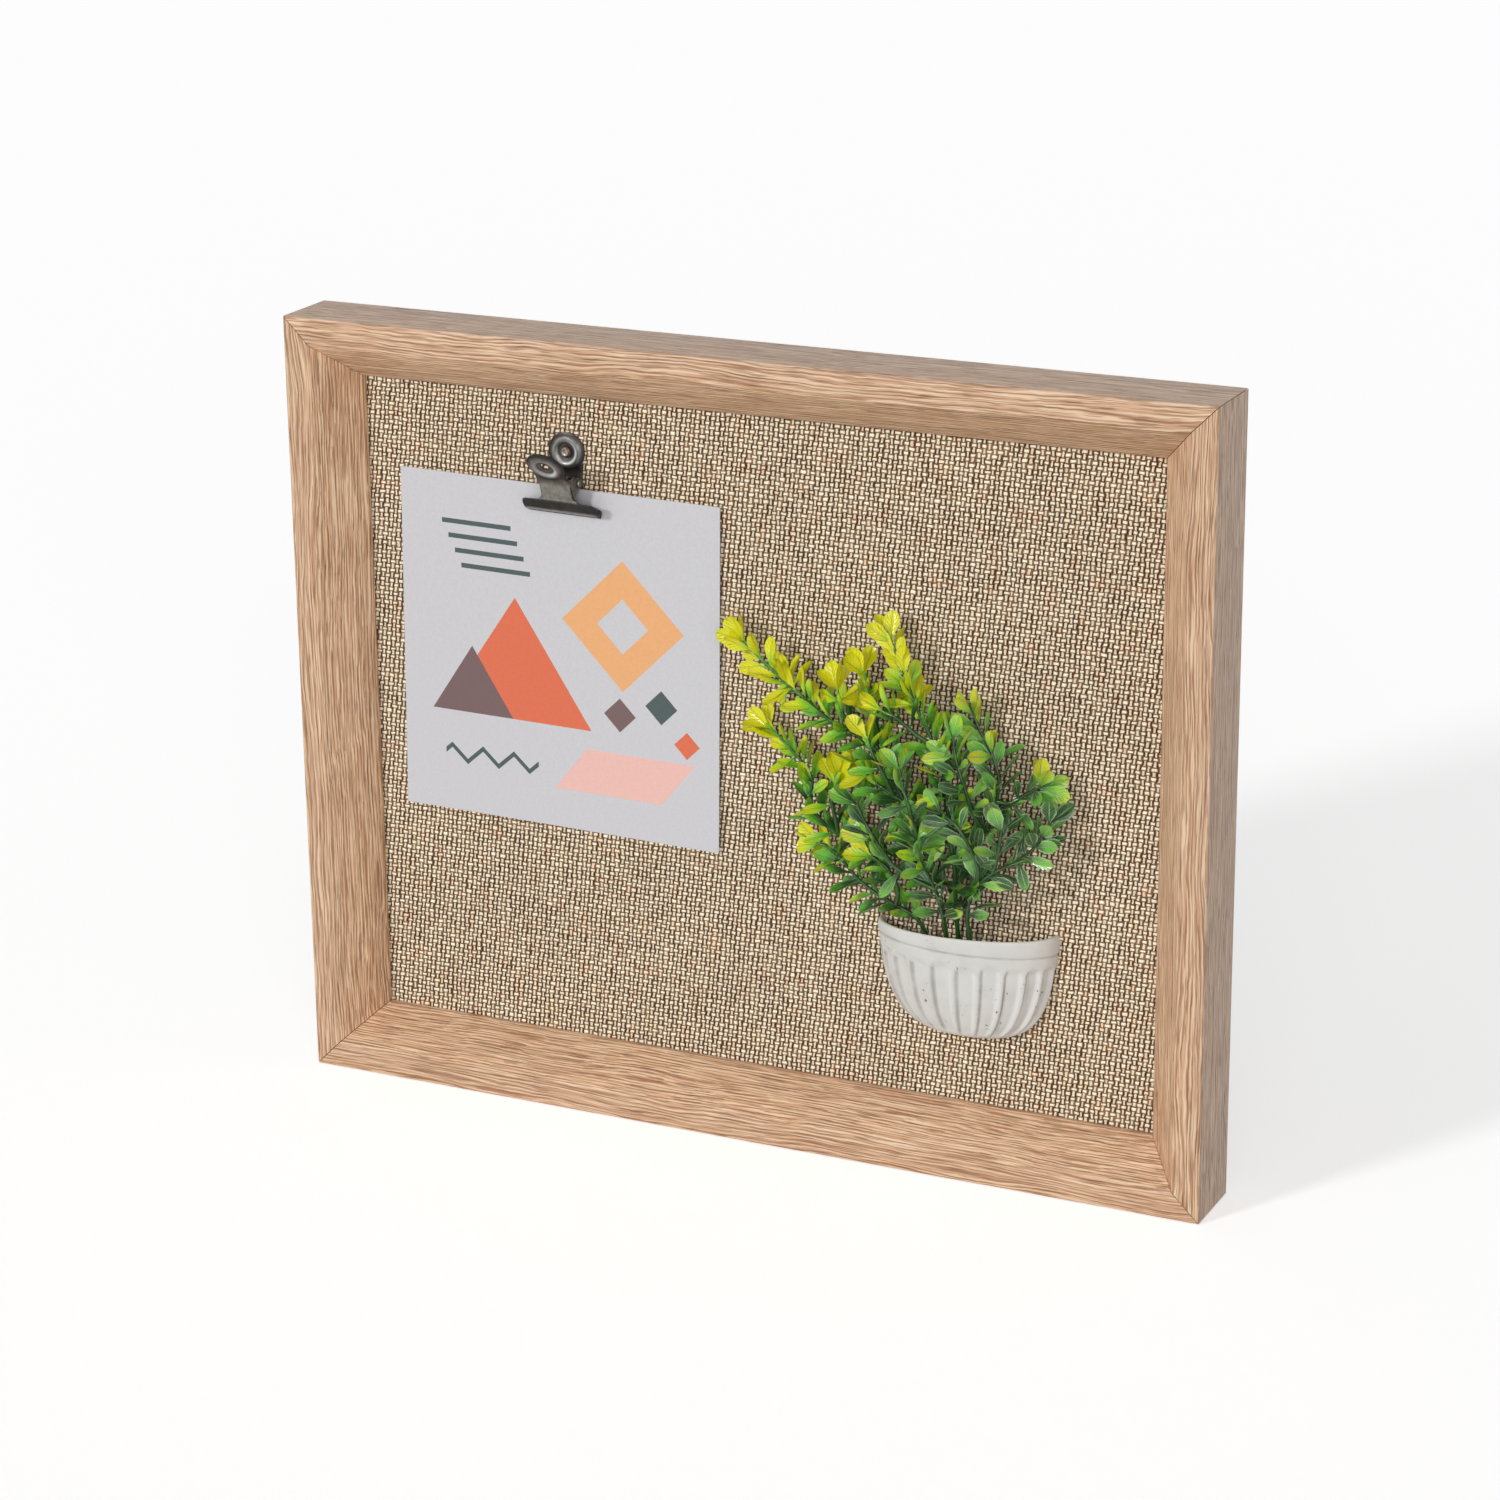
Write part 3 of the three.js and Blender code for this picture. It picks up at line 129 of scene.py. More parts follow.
class RailSettings(bpy.types.PropertyGroup):
    flat_width: length("Flat width", "Width of the flat band along the outer edge", 0.0078)
    bevel_width: length("Bevel width", "Width of the bevel seen from the front", 0.0102)
    bevel_depth: length("Bevel depth", "How far back the bevel falls", 0.0122)
    lip: length("Lip", "Straight return between the bevel and the linen", 0.0018)
    wall: length("Wall", "Width of the rail beside the rebate", 0.01)
    mitre_gap: length("Mitre gap", "Half of the open line at each mitre", 0.0001)
    edge_round: length("Edge round", "Radius of the long edges", 0.0004)
    light: tint("Light grain", "Colour of the pale streaks", 248, 216, 182)
    middle: tint("Ground", "Colour between the streaks", 219, 176, 140)
    dark: tint("Dark grain", "Colour of the dark streaks", 172, 126, 92)
    pore: tint("Pore", "Colour of the short pore lines", 112, 76, 52)
    # Painted sheen: a grey laid on the outer sides where light glances off them.
    dust_and_sheen: tint("Painted sheen", "Colour that greys the outer sides", 180, 168, 158)


class BoardSettings(bpy.types.PropertyGroup):
    warp_pitch: length("Warp pitch", "Distance between neighbouring upright yarns", 0.00147)
    weft_pitch: length("Weft pitch", "Distance between neighbouring level yarns", 0.00136)
    warp_lean: share("Warp lean", "How far the upright yarns lean sideways, as a share of their height", 0.1)
    hem: length("Hem", "Width of the linen folded to the back", 0.014)
    weft: tint("Weft", "Colour of the level yarns' crowns", 255, 246, 222)
    warp: tint("Warp", "Colour of the upright yarns' crowns", 238, 222, 192)
    # Painted shade: the yarns' flanks are darker than their crowns.
    yarn_side: tint("Yarn side", "Colour of the yarns' flanks", 158, 128, 96)
    gap: tint("Gap", "Colour of the shadow beside the yarns", 78, 51, 31)
    fleck: tint("Fleck", "Tint of the russet patches", 255, 242, 236)
    hardboard: tint("Hardboard", "Colour of the back panel", 122, 90, 62)
    core: tint("Core", "Colour of the board inside the linen", 155, 149, 138)


class FittingSettings(bpy.types.PropertyGroup):
    zinc: tint("Zinc", "Colour of the plated fittings", 190, 189, 184)
    dull: tint("Dull zinc", "Colour of the dull patches", 140, 138, 132)
    edge_round: length("Edge round", "Radius of the sheet edges", 0.00018)


class ClipSettings(bpy.types.PropertyGroup):
    sheet: length("Sheet", "Thickness of the pressed sheet", 0.0006)
    edge_round: length("Edge round", "Radius of the sheet edges", 0.0001)
    gunmetal: tint("Gunmetal", "Colour of the clip", 140, 137, 128)
    smoke: tint("Smoke", "Colour of the clip's darker patches", 114, 111, 104)
    # Painted highlight on the raised rings and the jaw's lower band, standing in for reflected light.
    painted_highlight: tint("Painted highlight", "Colour where the raised rings are worn bright", 226, 230, 232)
    # Dark oxide together with painted shade on the ear rims, in the dish, on the side edges, the jaw's upper band, its
    # lower edge and its folded ends.
    dark_oxide_and_shade: tint("Dark oxide and shade", "Colour of the dark finish left on rims and in hollows", 34, 31, 31)
    steel: tint("Bright steel", "Colour of the rivet and the spring", 205, 200, 192)
    patina: tint("Patina", "Warm tarnish on the bright steel", 140, 112, 92)
    tarnish: tint("Tarnish", "Colour of the rivet's outer ring", 104, 84, 78)


class CardSettings(bpy.types.PropertyGroup):
    bow: length("Bow", "How far the free lower corners stand forward", 0.0005)
    stock: tint("Card", "Colour of the card", 205, 204, 208)
    peach: tint("Peach", "First print colour", 236, 174, 118)
    coral: tint("Coral", "Second print colour", 222, 110, 75)
    pink: tint("Pink", "Third print colour", 238, 190, 180)
    slate: tint("Slate", "Fourth print colour", 70, 85, 85)
    plum: tint("Plum", "Fifth print colour", 115, 90, 90)


class PotSettings(bpy.types.PropertyGroup):
    flutes: bpy.props.IntProperty(name="Flutes", description="Flutes round the half pot", default=11, min=3)
    flute_depth: length("Flute depth", "How deep each flute is scooped", 0.0012)
    rim_rise: length("Rim rise", "How much higher the rim stands at its right end", 0.002)
    glaze: tint("Glaze", "Colour of the pot", 216, 215, 211)
    # Worn clouds, plus painted shade in the rim's groove and on each flute's left edge.
    worn: tint("Worn and shade", "Colour in the groove and the flute edges", 146, 143, 135)
    # Painted highlight on each flute's right edge.
    flute_highlight: tint("Flute highlight", "Colour of the flutes' bright right edges", 236, 235, 232)
    rim: tint("Rim", "Warm colour of the rim's inner edge", 206, 196, 168)
    pinhole: tint("Pinhole", "Colour of the small holes in the cast", 92, 86, 78)
    moss: tint("Plug", "Colour of the plug", 74, 66, 44)


class PlantSettings(bpy.types.PropertyGroup):
    stem_radius: length("Stem radius", "Radius of a stem at its foot", 0.0007)
    camber: share("Camber", "How much a leaf is cupped across, as a share of its half width", 0.42)
    roll: angle("Roll", "How far leaves turn about their own length", 110)
    droop: share("Droop", "How much a leaf curves back at its tip, as a share of its length", 0.1)
    deep: tint("Deep green", "Colour of the inner leaves and stems", 28, 78, 24)
    green: tint("Green", "Colour of the middle of a leaf", 106, 186, 46)
    lime: tint("Lime", "Colour towards a leaf's tip", 184, 220, 34)
    yellow: tint("Yellow", "Colour of the young leaves", 226, 222, 14)
    bloom: tint("Bloom", "Pale dusting on the veins and edges", 172, 200, 158)


class StageSettings(bpy.types.PropertyGroup):
    lens: length("Lens", "Focal length of the camera on a 36 mm sensor", 98.1)
    key: share("Key", "How bright the key lamp makes a white face turned to it", 0.4, 4)
    fill: share("Fill", "How bright the fill lamp makes a white face turned to it", 0.32, 4)
    sky: share("Sky", "Brightness of the even light from all round", 0.315, 4)
    softness: angle("Softness", "Angle across the key lamp", 9)


# Shader building


class Value:
    """The output of a node, which can be reckoned with like a number."""

    def __init__(self, nodes, socket):
        self.nodes, self.socket = nodes, socket

    def __add__(self, other):
        return self.nodes.maths("ADD", self, other)

    def __sub__(self, other):
        return self.nodes.maths("SUBTRACT", self, other)

    def __rsub__(self, other):
        return self.nodes.maths("SUBTRACT", other, self)

    def __mul__(self, other):
        return self.nodes.maths("MULTIPLY", self, other)

    def __abs__(self):
        return self.nodes.maths("ABSOLUTE", self)

    def __lt__(self, other):
        return self.nodes.maths("LESS_THAN", self, other)


class Nodes:
    """Adds nodes to one tree and joins them. What feeds an input is a Value, a socket or a constant."""

    def __init__(self, tree, owner=None):
        tree.nodes.clear()
        self.tree, self.owner = tree, owner

    def add(self, kind, inputs=None, **settings):
        """Adds a node. Its inputs are given by name or number."""
        node = self.tree.nodes.new(kind)
        for name, value in settings.items():
            setattr(node, name, value)
        for key, value in (inputs or {}).items():
            value = value.socket if isinstance(value, Value) else value
            if isinstance(value, bpy.types.NodeSocket):
                self.tree.links.new(value, node.inputs[key])
            else:
                node.inputs[key].default_value = value
        return node

    def read(self, kind, inputs=None, output=0, **settings):
        return Value(self, self.add(kind, inputs, **settings).outputs[output])

    def maths(self, operation, *values):
        return self.read("ShaderNodeMath", dict(enumerate(values)), operation=operation)

    def most(self, *values):
        largest = values[0]
        for value in values[1:]:
            largest = self.maths("MAXIMUM", largest, value)
        return largest

    def span(self, value, low, high, to_low=0.0, to_high=1.0):
        """A smooth step from one result at low to another at high."""
        inputs = dict(enumerate((value, low, high, to_low, to_high)))
        return self.read("ShaderNodeMapRange", inputs, interpolation_type="SMOOTHSTEP")

    def colours(self, factor, first, second, kind="MIX"):
        return self.read("ShaderNodeMix", {0: factor, 6: first, 7: second}, 2, data_type="RGBA", blend_type=kind)

    def layered(self, colour, *layers):
        """A colour with others laid over it, each as (mask, colour)."""
        for mask, over in layers:
            colour = self.colours(mask, colour, over)
        return colour

    def toned(self, colour, tone):
        return self.colours(1.0, colour, self.vector(tone, tone, tone), "MULTIPLY")

    def vector(self, *parts):
        return self.read("ShaderNodeCombineXYZ", dict(enumerate(parts)))

    def split(self, vector):
        return [Value(self, part) for part in self.add("ShaderNodeSeparateXYZ", {0: vector}).outputs]

    def attribute(self, name):
        return self.split(self.read("ShaderNodeAttribute", None, "Vector", attribute_name=name))

    def place(self):
        return self.read("ShaderNodeTexCoord", None, "Object")

    def noise(self, place, scale, detail=2.0, roughness=0.5):
        """Fractal noise of 0 to 1. The scale is a number, or one for each axis."""
        if isinstance(scale, tuple):
            place, scale = self.read("ShaderNodeVectorMath", {0: place, 1: scale}, operation="MULTIPLY"), 1.0
        return self.read(
            "ShaderNodeTexNoise", {"Vector": place, "Scale": scale, "Detail": detail, "Roughness": roughness})

    def scatter(self, value):
        return self.read("ShaderNodeTexWhiteNoise", {"W": value}, "Value", noise_dimensions="1D")

    def bump(self, height, distance, strength):
        return self.read("ShaderNodeBump", {"Height": height, "Distance": distance, "Strength": strength}, "Normal")

    def group(self, tree, **inputs):
        node = self.add("ShaderNodeGroup", inputs, node_tree=tree)
        return {socket.name: Value(self, socket) for socket in node.outputs}

    def seen_directly(self):
        """1 where the camera sees the surface, also in a mirror or through glass."""
        path = self.add("ShaderNodeLightPath").outputs
        return self.most(*(path[f"Is {ray} Ray"] for ray in ("Camera", "Glossy", "Transmission")))

    def surface(self, **inputs):
        """Puts out one principled shader and gives back the material."""
        named = {name.replace("_", " "): value for name, value in inputs.items()}
        shader = self.add("ShaderNodeBsdfPrincipled", named)
        self.add("ShaderNodeOutputMaterial", {"Surface": shader.outputs[0]})
        return self.owner


def new_material(name):
    made = bpy.data.materials.new(name)
    made.use_nodes = True
    return Nodes(made.node_tree, made)


def shared_group(name, inputs, outputs, build):
    """A node group, made when first asked for. Build turns its inputs into the values of its outputs."""
    tree = bpy.data.node_groups.get(name)
    if not tree:
        tree = bpy.data.node_groups.new(name, "ShaderNodeTree")
        for way, sockets in (("INPUT", inputs), ("OUTPUT", outputs)):
            for socket, kind in sockets.items():
                tree.interface.new_socket(name=socket, in_out=way, socket_type=f"NodeSocket{kind}")
        nodes = Nodes(tree)
        given = nodes.add("NodeGroupInput").outputs
        made = build(nodes, *(Value(nodes, given[socket]) for socket in inputs))
        nodes.add("NodeGroupOutput", dict(zip(outputs, made)))
    return tree


def worn_metal():
    """Metal with dull clouds and fine rubbing marks."""

    def build(nodes, bright, dull, roughness):
        place = nodes.place()
        rubs = nodes.noise(place, (6000, 900, 900))
        worn = nodes.span(nodes.noise(place, 420, 4, 0.6) + rubs * 0.25, 0.48, 0.78)
        return nodes.colours(worn, bright, dull), roughness + worn * 0.16, rubs

    return shared_group("worn_metal", {"Bright": "Color", "Dull": "Color", "Roughness": "Float"},
                        {"Colour": "Color", "Roughness": "Float", "Height": "Float"}, build)


def pressed_fibre():
    """Pressed fibre board: short pale and dark fibres in every direction."""

    def build(nodes, base):
        place = nodes.place()
        fibres = nodes.most(*(nodes.noise(place, run, 3, 0.6) for run in ((1500, 300, 260), (260, 300, 1500))))
        tone = nodes.span(fibres + nodes.noise(place, 60, 3) * 0.4, 0.55, 1.0, 0.62, 1.25)
        return nodes.toned(base, tone), fibres

    return shared_group("pressed_fibre", {"Base": "Color"}, {"Colour": "Color", "Height": "Float"}, build)


# Materials


def oak_material(settings):
    """Straight oak. Grain is (along, across, depth) and wear_and_painted_light is (outer side, flat band) on each
    vertex, for a painted grey sheen on the outer sides and painted shade on the flat band.
    """
    nodes = new_material("oak")
    along, across, depth = nodes.attribute("grain")
    grain = nodes.vector(along, across, depth)
    sway, shiver = nodes.noise(grain, (14, 50, 50)), nodes.noise(grain, (170, 300, 300), 1)
    across = across + (sway - 0.5) * 0.007 + (shiver - 0.5) * 0.0005
    grain = nodes.vector(along, across, depth)
    wander = nodes.noise(grain, (24, 420, 420), 2, 0.6)
    lines = nodes.maths("SINE", (across * 900 + depth * 600 + wander * 3) * math.tau)
    streaks = nodes.noise(grain, (40, 2300, 2300), 3, 0.7) * 0.6 + lines * 0.075 + 0.2
    pores = nodes.noise(nodes.vector(along, across, depth + 0.3), (100, 2800, 2800), 1)
    pore = nodes.span(pores, 0.58, 0.68)
    outer, flat, _ = nodes.attribute("wear_and_painted_light")
    bands = nodes.span(nodes.noise(grain, (4, 260, 260)), 0.3, 0.7, 1.05, 0.94)
    base = nodes.layered(settings.middle, (nodes.span(streaks, 0.49, 0.4), settings.dark),
                         (nodes.span(streaks, 0.51, 0.6), settings.light))
    # Painted shade: the front flat band is a little darker and the other faces a little lighter.
    base = nodes.toned(base, bands * nodes.span(flat, 0.0, 1.0, 1.02, 0.87))
    # Painted sheen: the outer sides are greyed as by light glancing off them.
    return nodes.surface(
        Base_Color=nodes.layered(base, (outer * 0.42, settings.dust_and_sheen), (pore * 0.45, settings.pore)),
        Roughness=pore * 0.2 + 0.5, Normal=nodes.bump(streaks * 0.6 - pore * 0.8, 0.00015, 0.8))


def linen_material(settings):
    """Plain weave: a dull warp or a pale weft passes over by turns, with shadows where the other dives under it."""
    nodes = new_material("linen")
    place = nodes.place()
    x, _, z = nodes.split(place)
    drift_x = nodes.noise(place, (260, 1, 120), 2, 0.6) - 0.5
    drift_z = nodes.noise(place, (128.4, 1.07, 278.2), 2, 0.6) - 0.5
    u = (x - z * settings.warp_lean) * (1 / settings.warp_pitch) + drift_x * 1.2
    v = z * (1 / settings.weft_pitch) + drift_z * 1.2
    column, row = nodes.maths("FLOOR", u), nodes.maths("FLOOR", v)
    is_warp = nodes.maths("FLOORED_MODULO", column + row, 2)
    is_weft = 1 - is_warp
    fibres = nodes.noise(nodes.vector(u * 2.2, v * 2.2, is_warp), 2.4, 3, 0.65) - 0.5

    def chance(sideways, upwards, start):
        """A number of 0 to 1 for each crossing of two yarns."""
        return nodes.scatter(column * sideways + row * upwards + start)

    off_u, off_v = (abs(spot - cell - 0.5 + fibres * 0.4 + 0.04) for spot, cell in ((u, column), (v, row)))
    warp = is_warp * nodes.span(off_u, 0.32, 0.1) * nodes.span(off_v, 0.7, 0.4)
    weft = is_weft * nodes.span(off_v, 0.38, 0.12) * nodes.span(off_u, 0.7, 0.46)
    height = warp + weft + fibres * 0.8
    beside = is_warp * nodes.span(off_u, 0.17, 0.31) * nodes.span(chance(12.9, 78.2, 0.0), 0.0, 0.6, 0.4)
    below = is_weft * nodes.span(off_v, 0.26, 0.4) * nodes.span(chance(39.3, 11.1, 0.5), 0.1, 0.9, 0.2)
    ends = is_weft * nodes.span(off_u, 0.28, 0.46) * nodes.span(chance(5.1, 17.7, 0.8), 0.2, 0.9, 0.45)
    shadow = nodes.most(beside, below * 0.8, ends)
    crown = nodes.colours(is_warp, settings.weft, settings.warp)
    # Painted shade: the flanks darken away from each crown, and the painted shadows beside the yarns lie over them.
    yarn = nodes.layered(settings.yarn_side, (nodes.span(height, 0.1, 0.85), crown), (shadow, settings.gap))
    patch = nodes.span(nodes.noise(place, (190, 1, 190), 2, 0.6), 0.5, 0.68)
    yarn = nodes.colours(patch, yarn, nodes.colours(1.0, yarn, settings.fleck, "MULTIPLY"))
    tone = chance(7.3, 31.7, 0.2) * 0.18 + nodes.noise(place, (34, 1, 34)) * 0.24 + 0.88
    return nodes.surface(
        Base_Color=nodes.toned(yarn, tone), Roughness=0.92, Specular_IOR_Level=0.2,
        Normal=nodes.bump(height - shadow * 0.6, 0.0003, 0.7))


def metal_material(name, bright, dull, roughness, metallic):
    nodes = new_material(name)
    worn = nodes.group(worn_metal(), Bright=bright, Dull=dull, Roughness=roughness)
    return nodes.surface(
        Base_Color=worn["Colour"], Roughness=worn["Roughness"], Metallic=metallic,
        Normal=nodes.bump(worn["Height"], 0.00002, 0.5))


def gunmetal_material(settings):
    """Dark finish with painted highlights on raised edges, and dark oxide with painted shade on rims and in hollows.
    The wear_and_painted_light attribute is (painted_highlight, oxide_and_shade) on each vertex.
    """
    nodes = new_material("gunmetal")
    worn = nodes.group(worn_metal(), Bright=settings.gunmetal, Dull=settings.smoke, Roughness=0.34)
    painted_highlight, oxide_and_shade, _ = nodes.attribute("wear_and_painted_light")
    return nodes.surface(
        Base_Color=nodes.layered(worn["Colour"], (oxide_and_shade, settings.dark_oxide_and_shade), (painted_highlight, settings.painted_highlight)),
        Roughness=worn["Roughness"], Metallic=nodes.span(painted_highlight, 0.0, 1.0, 0.85, 0.2),
        Normal=nodes.bump(worn["Height"], 0.00002, 0.3))


def rivet_material(settings):
    """Bright steel in the middle of the head and tarnish round it. Wear is (bright) on each vertex."""
    nodes = new_material("rivet_steel")
    worn = nodes.group(worn_metal(), Bright=settings.steel, Dull=settings.patina, Roughness=0.24)
    bright = nodes.attribute("wear_and_painted_light")[0]
    return nodes.surface(
        Base_Color=nodes.colours(bright, settings.tarnish, worn["Colour"]), Roughness=worn["Roughness"], Metallic=0.6)


def board_material(name, base, roughness):
    nodes = new_material(name)
    fibre = nodes.group(pressed_fibre(), Base=base)
    return nodes.surface(
        Base_Color=fibre["Colour"], Roughness=roughness, Normal=nodes.bump(fibre["Height"], 0.0001, 0.6))


def card_stock_material(settings):
    nodes = new_material("card_stock")
    tone = nodes.span(nodes.noise(nodes.place(), 900, 3, 0.6), 0.3, 0.7, 0.97, 1.02)
    return nodes.surface(Base_Color=nodes.toned(settings.stock, tone), Roughness=0.62)


def card_print_material(settings):
    """A plain geometric print: diamonds, a peak, bars and a slanted band. Places are in millimetres on the card."""
    nodes = new_material("card_print")
    across, up, _ = nodes.attribute("print")

    def diamond(x, y, reach):
        return abs(across - x) + abs(up - y) < reach

    def bar(x, y, half_width, half_height):
        return (abs(across - x) < half_width) * (abs(up - y) < half_height)

    def peak(x, top, foot, half_width):
        slope = half_width / (top - foot)
        return (abs(across - x) < (top - up) * slope) * nodes.maths("GREATER_THAN", up, foot)

    band = (abs(across - up * 0.8 - 56) < 17) * (abs(up - 18) < 6.5)
    zigzag = nodes.maths("PINGPONG", across, 5.0) * 0.9
    chevron = (abs(up - zigzag - 15) < 0.8) * bar(28, 17, 15, 9)
    bars = [(bar(24 + 2 * step, 86 - 4.2 * step, 11, 0.7), settings.slate) for step in range(4)]
    ink = nodes.layered(
        settings.stock, (band, settings.pink), (peak(36, 66, 30, 24), settings.coral),
        (peak(22, 50, 30, 13), settings.plum), (chevron, settings.slate), (diamond(70, 62, 19), settings.peach),
        (diamond(70, 62, 8), settings.stock), (diamond(82, 40, 5), settings.slate),
        (diamond(69, 36, 5), settings.plum), (diamond(90, 30, 4), settings.coral), *bars)
    tone = nodes.span(nodes.noise(nodes.place(), 1400), 0.3, 0.7, 0.97, 1.02)
    return nodes.surface(Base_Color=nodes.toned(ink, tone), Roughness=0.5)


def pot_material(settings):
    """Cast, painted plaster with worn clouds, a warm rim and pinholes, plus painted shade in the groove and on the
    flutes' left edges and a painted highlight on their right edges. The wear_and_painted_light attribute is (groove,
    rim, flute_highlight) on each vertex.
    """
    nodes = new_material("glaze")
    place = nodes.place()
    groove, rim, flute_highlight = nodes.attribute("wear_and_painted_light")
    clouds = nodes.noise(place, 130, 4, 0.6)
    holes = nodes.span(nodes.noise(place, (1500, 1500, 900), 1), 0.7, 0.76) * nodes.span(clouds, 0.5, 0.58)
    paint = nodes.layered(
        settings.glaze, (nodes.span(clouds, 0.35, 0.75, 0.0, 0.16), settings.worn), (rim, settings.rim),
        (flute_highlight, settings.flute_highlight), (groove * nodes.span(clouds, 0.3, 0.65, 0.45, 1.0), settings.worn),
        (holes, settings.pinhole))
    return nodes.surface(
        Base_Color=paint, Roughness=clouds * 0.25 + 0.42,
        Normal=nodes.bump(nodes.noise(place, 700, 3) * 0.4 - holes, 0.0001, 0.6))


def plug_material(settings):
    nodes = new_material("plug")
    crumbs = nodes.noise(nodes.place(), 900, 5, 0.7)
    return nodes.surface(
        Base_Color=nodes.toned(settings.moss, nodes.span(crumbs, 0.3, 0.75, 0.35, 1.3)), Roughness=0.95,
        Normal=nodes.bump(crumbs, 0.0004, 0.8))


def boxwood_material(settings):
    """Moulded plastic leaves. Blade is (along, across, chance) and hue_and_shade is (yellow, bloom, depth) on each
    vertex, where depth is painted shade on the leaves near the linen.
    """
    nodes = new_material("boxwood")
    along, across, chance = nodes.attribute("blade")
    yellow, bloom, depth = nodes.attribute("hue_and_shade")
    mottle = nodes.noise(nodes.place(), 380, 3, 0.6)
    ripe = yellow * 1.1 + along * (yellow * 0.7 + 0.55) + chance * 0.4 + (mottle - 0.5) * 0.5 - 0.82
    side = abs(across)
    ribs = nodes.maths("PINGPONG", along * 7.0 - side * 2.4, 0.5)
    vein = nodes.most(nodes.span(side, 0.14, 0.03), nodes.span(ribs, 0.1, 0.02, 0.0, 0.55))
    dust_and_sheen = bloom * (vein * 0.9 + nodes.span(side, 0.72, 0.98) * 0.95 + 0.12)
    leaf = nodes.layered(
        settings.deep, (nodes.span(ripe, -0.35, 0.12), settings.green), (nodes.span(ripe, 0.05, 0.5), settings.lime),
        (nodes.span(ripe, 0.4, 0.85), settings.yellow), (dust_and_sheen, settings.bloom))
    # Painted shade: leaves deep in the bush, near the linen, are darkened and the outer ones lightened a little.
    return nodes.surface(
        Base_Color=nodes.toned(leaf, nodes.span(depth, 0.0, 1.0, 1.12, 0.72)), Roughness=mottle * 0.16 + 0.1,
        Normal=nodes.bump(mottle - vein, 0.0004, 0.9))


# Mesh building


def rotation(degrees, axis):
    return Matrix.Rotation(math.radians(degrees), 4, axis)


def smooth(low, high, value):
    t = max(0.0, min(1.0, (value - low) / (high - low)))
    return t * t * (3 - 2 * t)


def square_to(vector, axis):
    """The part of a vector that is square to an axis, as a direction."""
    return (vector - axis * vector.dot(axis)).normalized()


def add_piece(name, bm, look, body, nodes=(), sharp=32, extra_looks=()):
    """Turns a bmesh into a piece that rides a body and stands for CAD nodes. Edges of the sharp angle stay hard."""
    mesh = bpy.data.meshes.new(name)
    bm.to_mesh(mesh)
    bm.free()
    mesh.shade_smooth()
    mesh.set_sharp_from_angle(angle=math.radians(sharp))
    for each in (look, *extra_looks):
        mesh.materials.append(each)
    piece = bpy.data.objects.new(name, mesh)
    bpy.context.scene.collection.objects.link(piece)
    if nodes:
        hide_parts(*nodes)
    if body:
        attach(piece, body)
    return piece


def paint_node(node, look):
    mesh = frame["nodes"][node].data
    mesh.materials.clear()
    mesh.materials.append(look)


def new_layers(bm, *names):
    return [bm.verts.layers.float_vector.new(name) for name in names]


def move(bm, place):
    bmesh.ops.transform(bm, matrix=place, verts=bm.verts)


def set_normals(bm):
    bmesh.ops.recalc_face_normals(bm, faces=bm.faces)


def verts_in(geometry):
    return [g for g in geometry if isinstance(g, bmesh.types.BMVert)]


def extrude(bm, faces, offset, keep=True):
    """Extrudes faces by an offset and returns the new vertices. Faces that are kept close the side they leave."""
    moved = verts_in(bmesh.ops.extrude_face_region(bm, geom=faces, use_keep_orig=keep)["geom"])
    bmesh.ops.translate(bm, vec=offset, verts=moved)
    return moved


def bridge(bm, near, far, closed=False, flip=False):
    """Joins two rows of vertices with faces and returns them."""
    pairs = list(zip(near, far))
    return [bm.faces.new((a, b, d, c) if flip else (a, c, d, b))
            for (a, b), (c, d) in zip(pairs, pairs[1:] + pairs[:closed])]


def bevel(bm, edges, radius, segments=2):
    bmesh.ops.bevel(
        bm, geom=edges, offset=radius, offset_type="OFFSET", segments=segments, profile=0.5, affect="EDGES",
        clamp_overlap=True, material=-1)


def sharp_edges(bm, least):
    return [e for e in bm.edges if len(e.link_faces) == 2 and e.calc_face_angle() > math.radians(least)]


def boundary(bm):
    return [e for e in bm.edges if e.is_boundary]


def arc_points(centre, radius, start, end, count):
    angles = [math.radians(start + (end - start) * i / count) for i in range(count + 1)]
    return [(centre[0] + radius * math.cos(a), centre[1] + radius * math.sin(a)) for a in angles]


def bezier(points, count):
    """Points along a quadratic or cubic Bezier in the plane."""
    degree = len(points) - 1
    made = []
    for i in range(count + 1):
        t = i / count
        weights = [math.comb(degree, k) * t**k * (1 - t) ** (degree - k) for k in range(degree + 1)]
        made.append(tuple(sum(w * p[axis] for w, p in zip(weights, points)) for axis in (0, 1)))
    return made


def turned(profile, steps, place):
    """A bmesh turned round Z from a profile of (radius, height) in millimetres, then moved to its place."""
    bm = bmesh.new()
    points = [bm.verts.new((radius * MM, 0, height * MM)) for radius, height in profile]
    lines = [bm.edges.new(pair) for pair in zip(points, points[1:])]
    bmesh.ops.spin(
        bm, geom=points + lines, cent=(0, 0, 0), axis=(0, 0, 1), angle=math.tau, steps=steps, use_merge=True)
    bmesh.ops.remove_doubles(bm, verts=bm.verts, dist=1e-7)
    set_normals(bm)
    move(bm, place)
    return bm


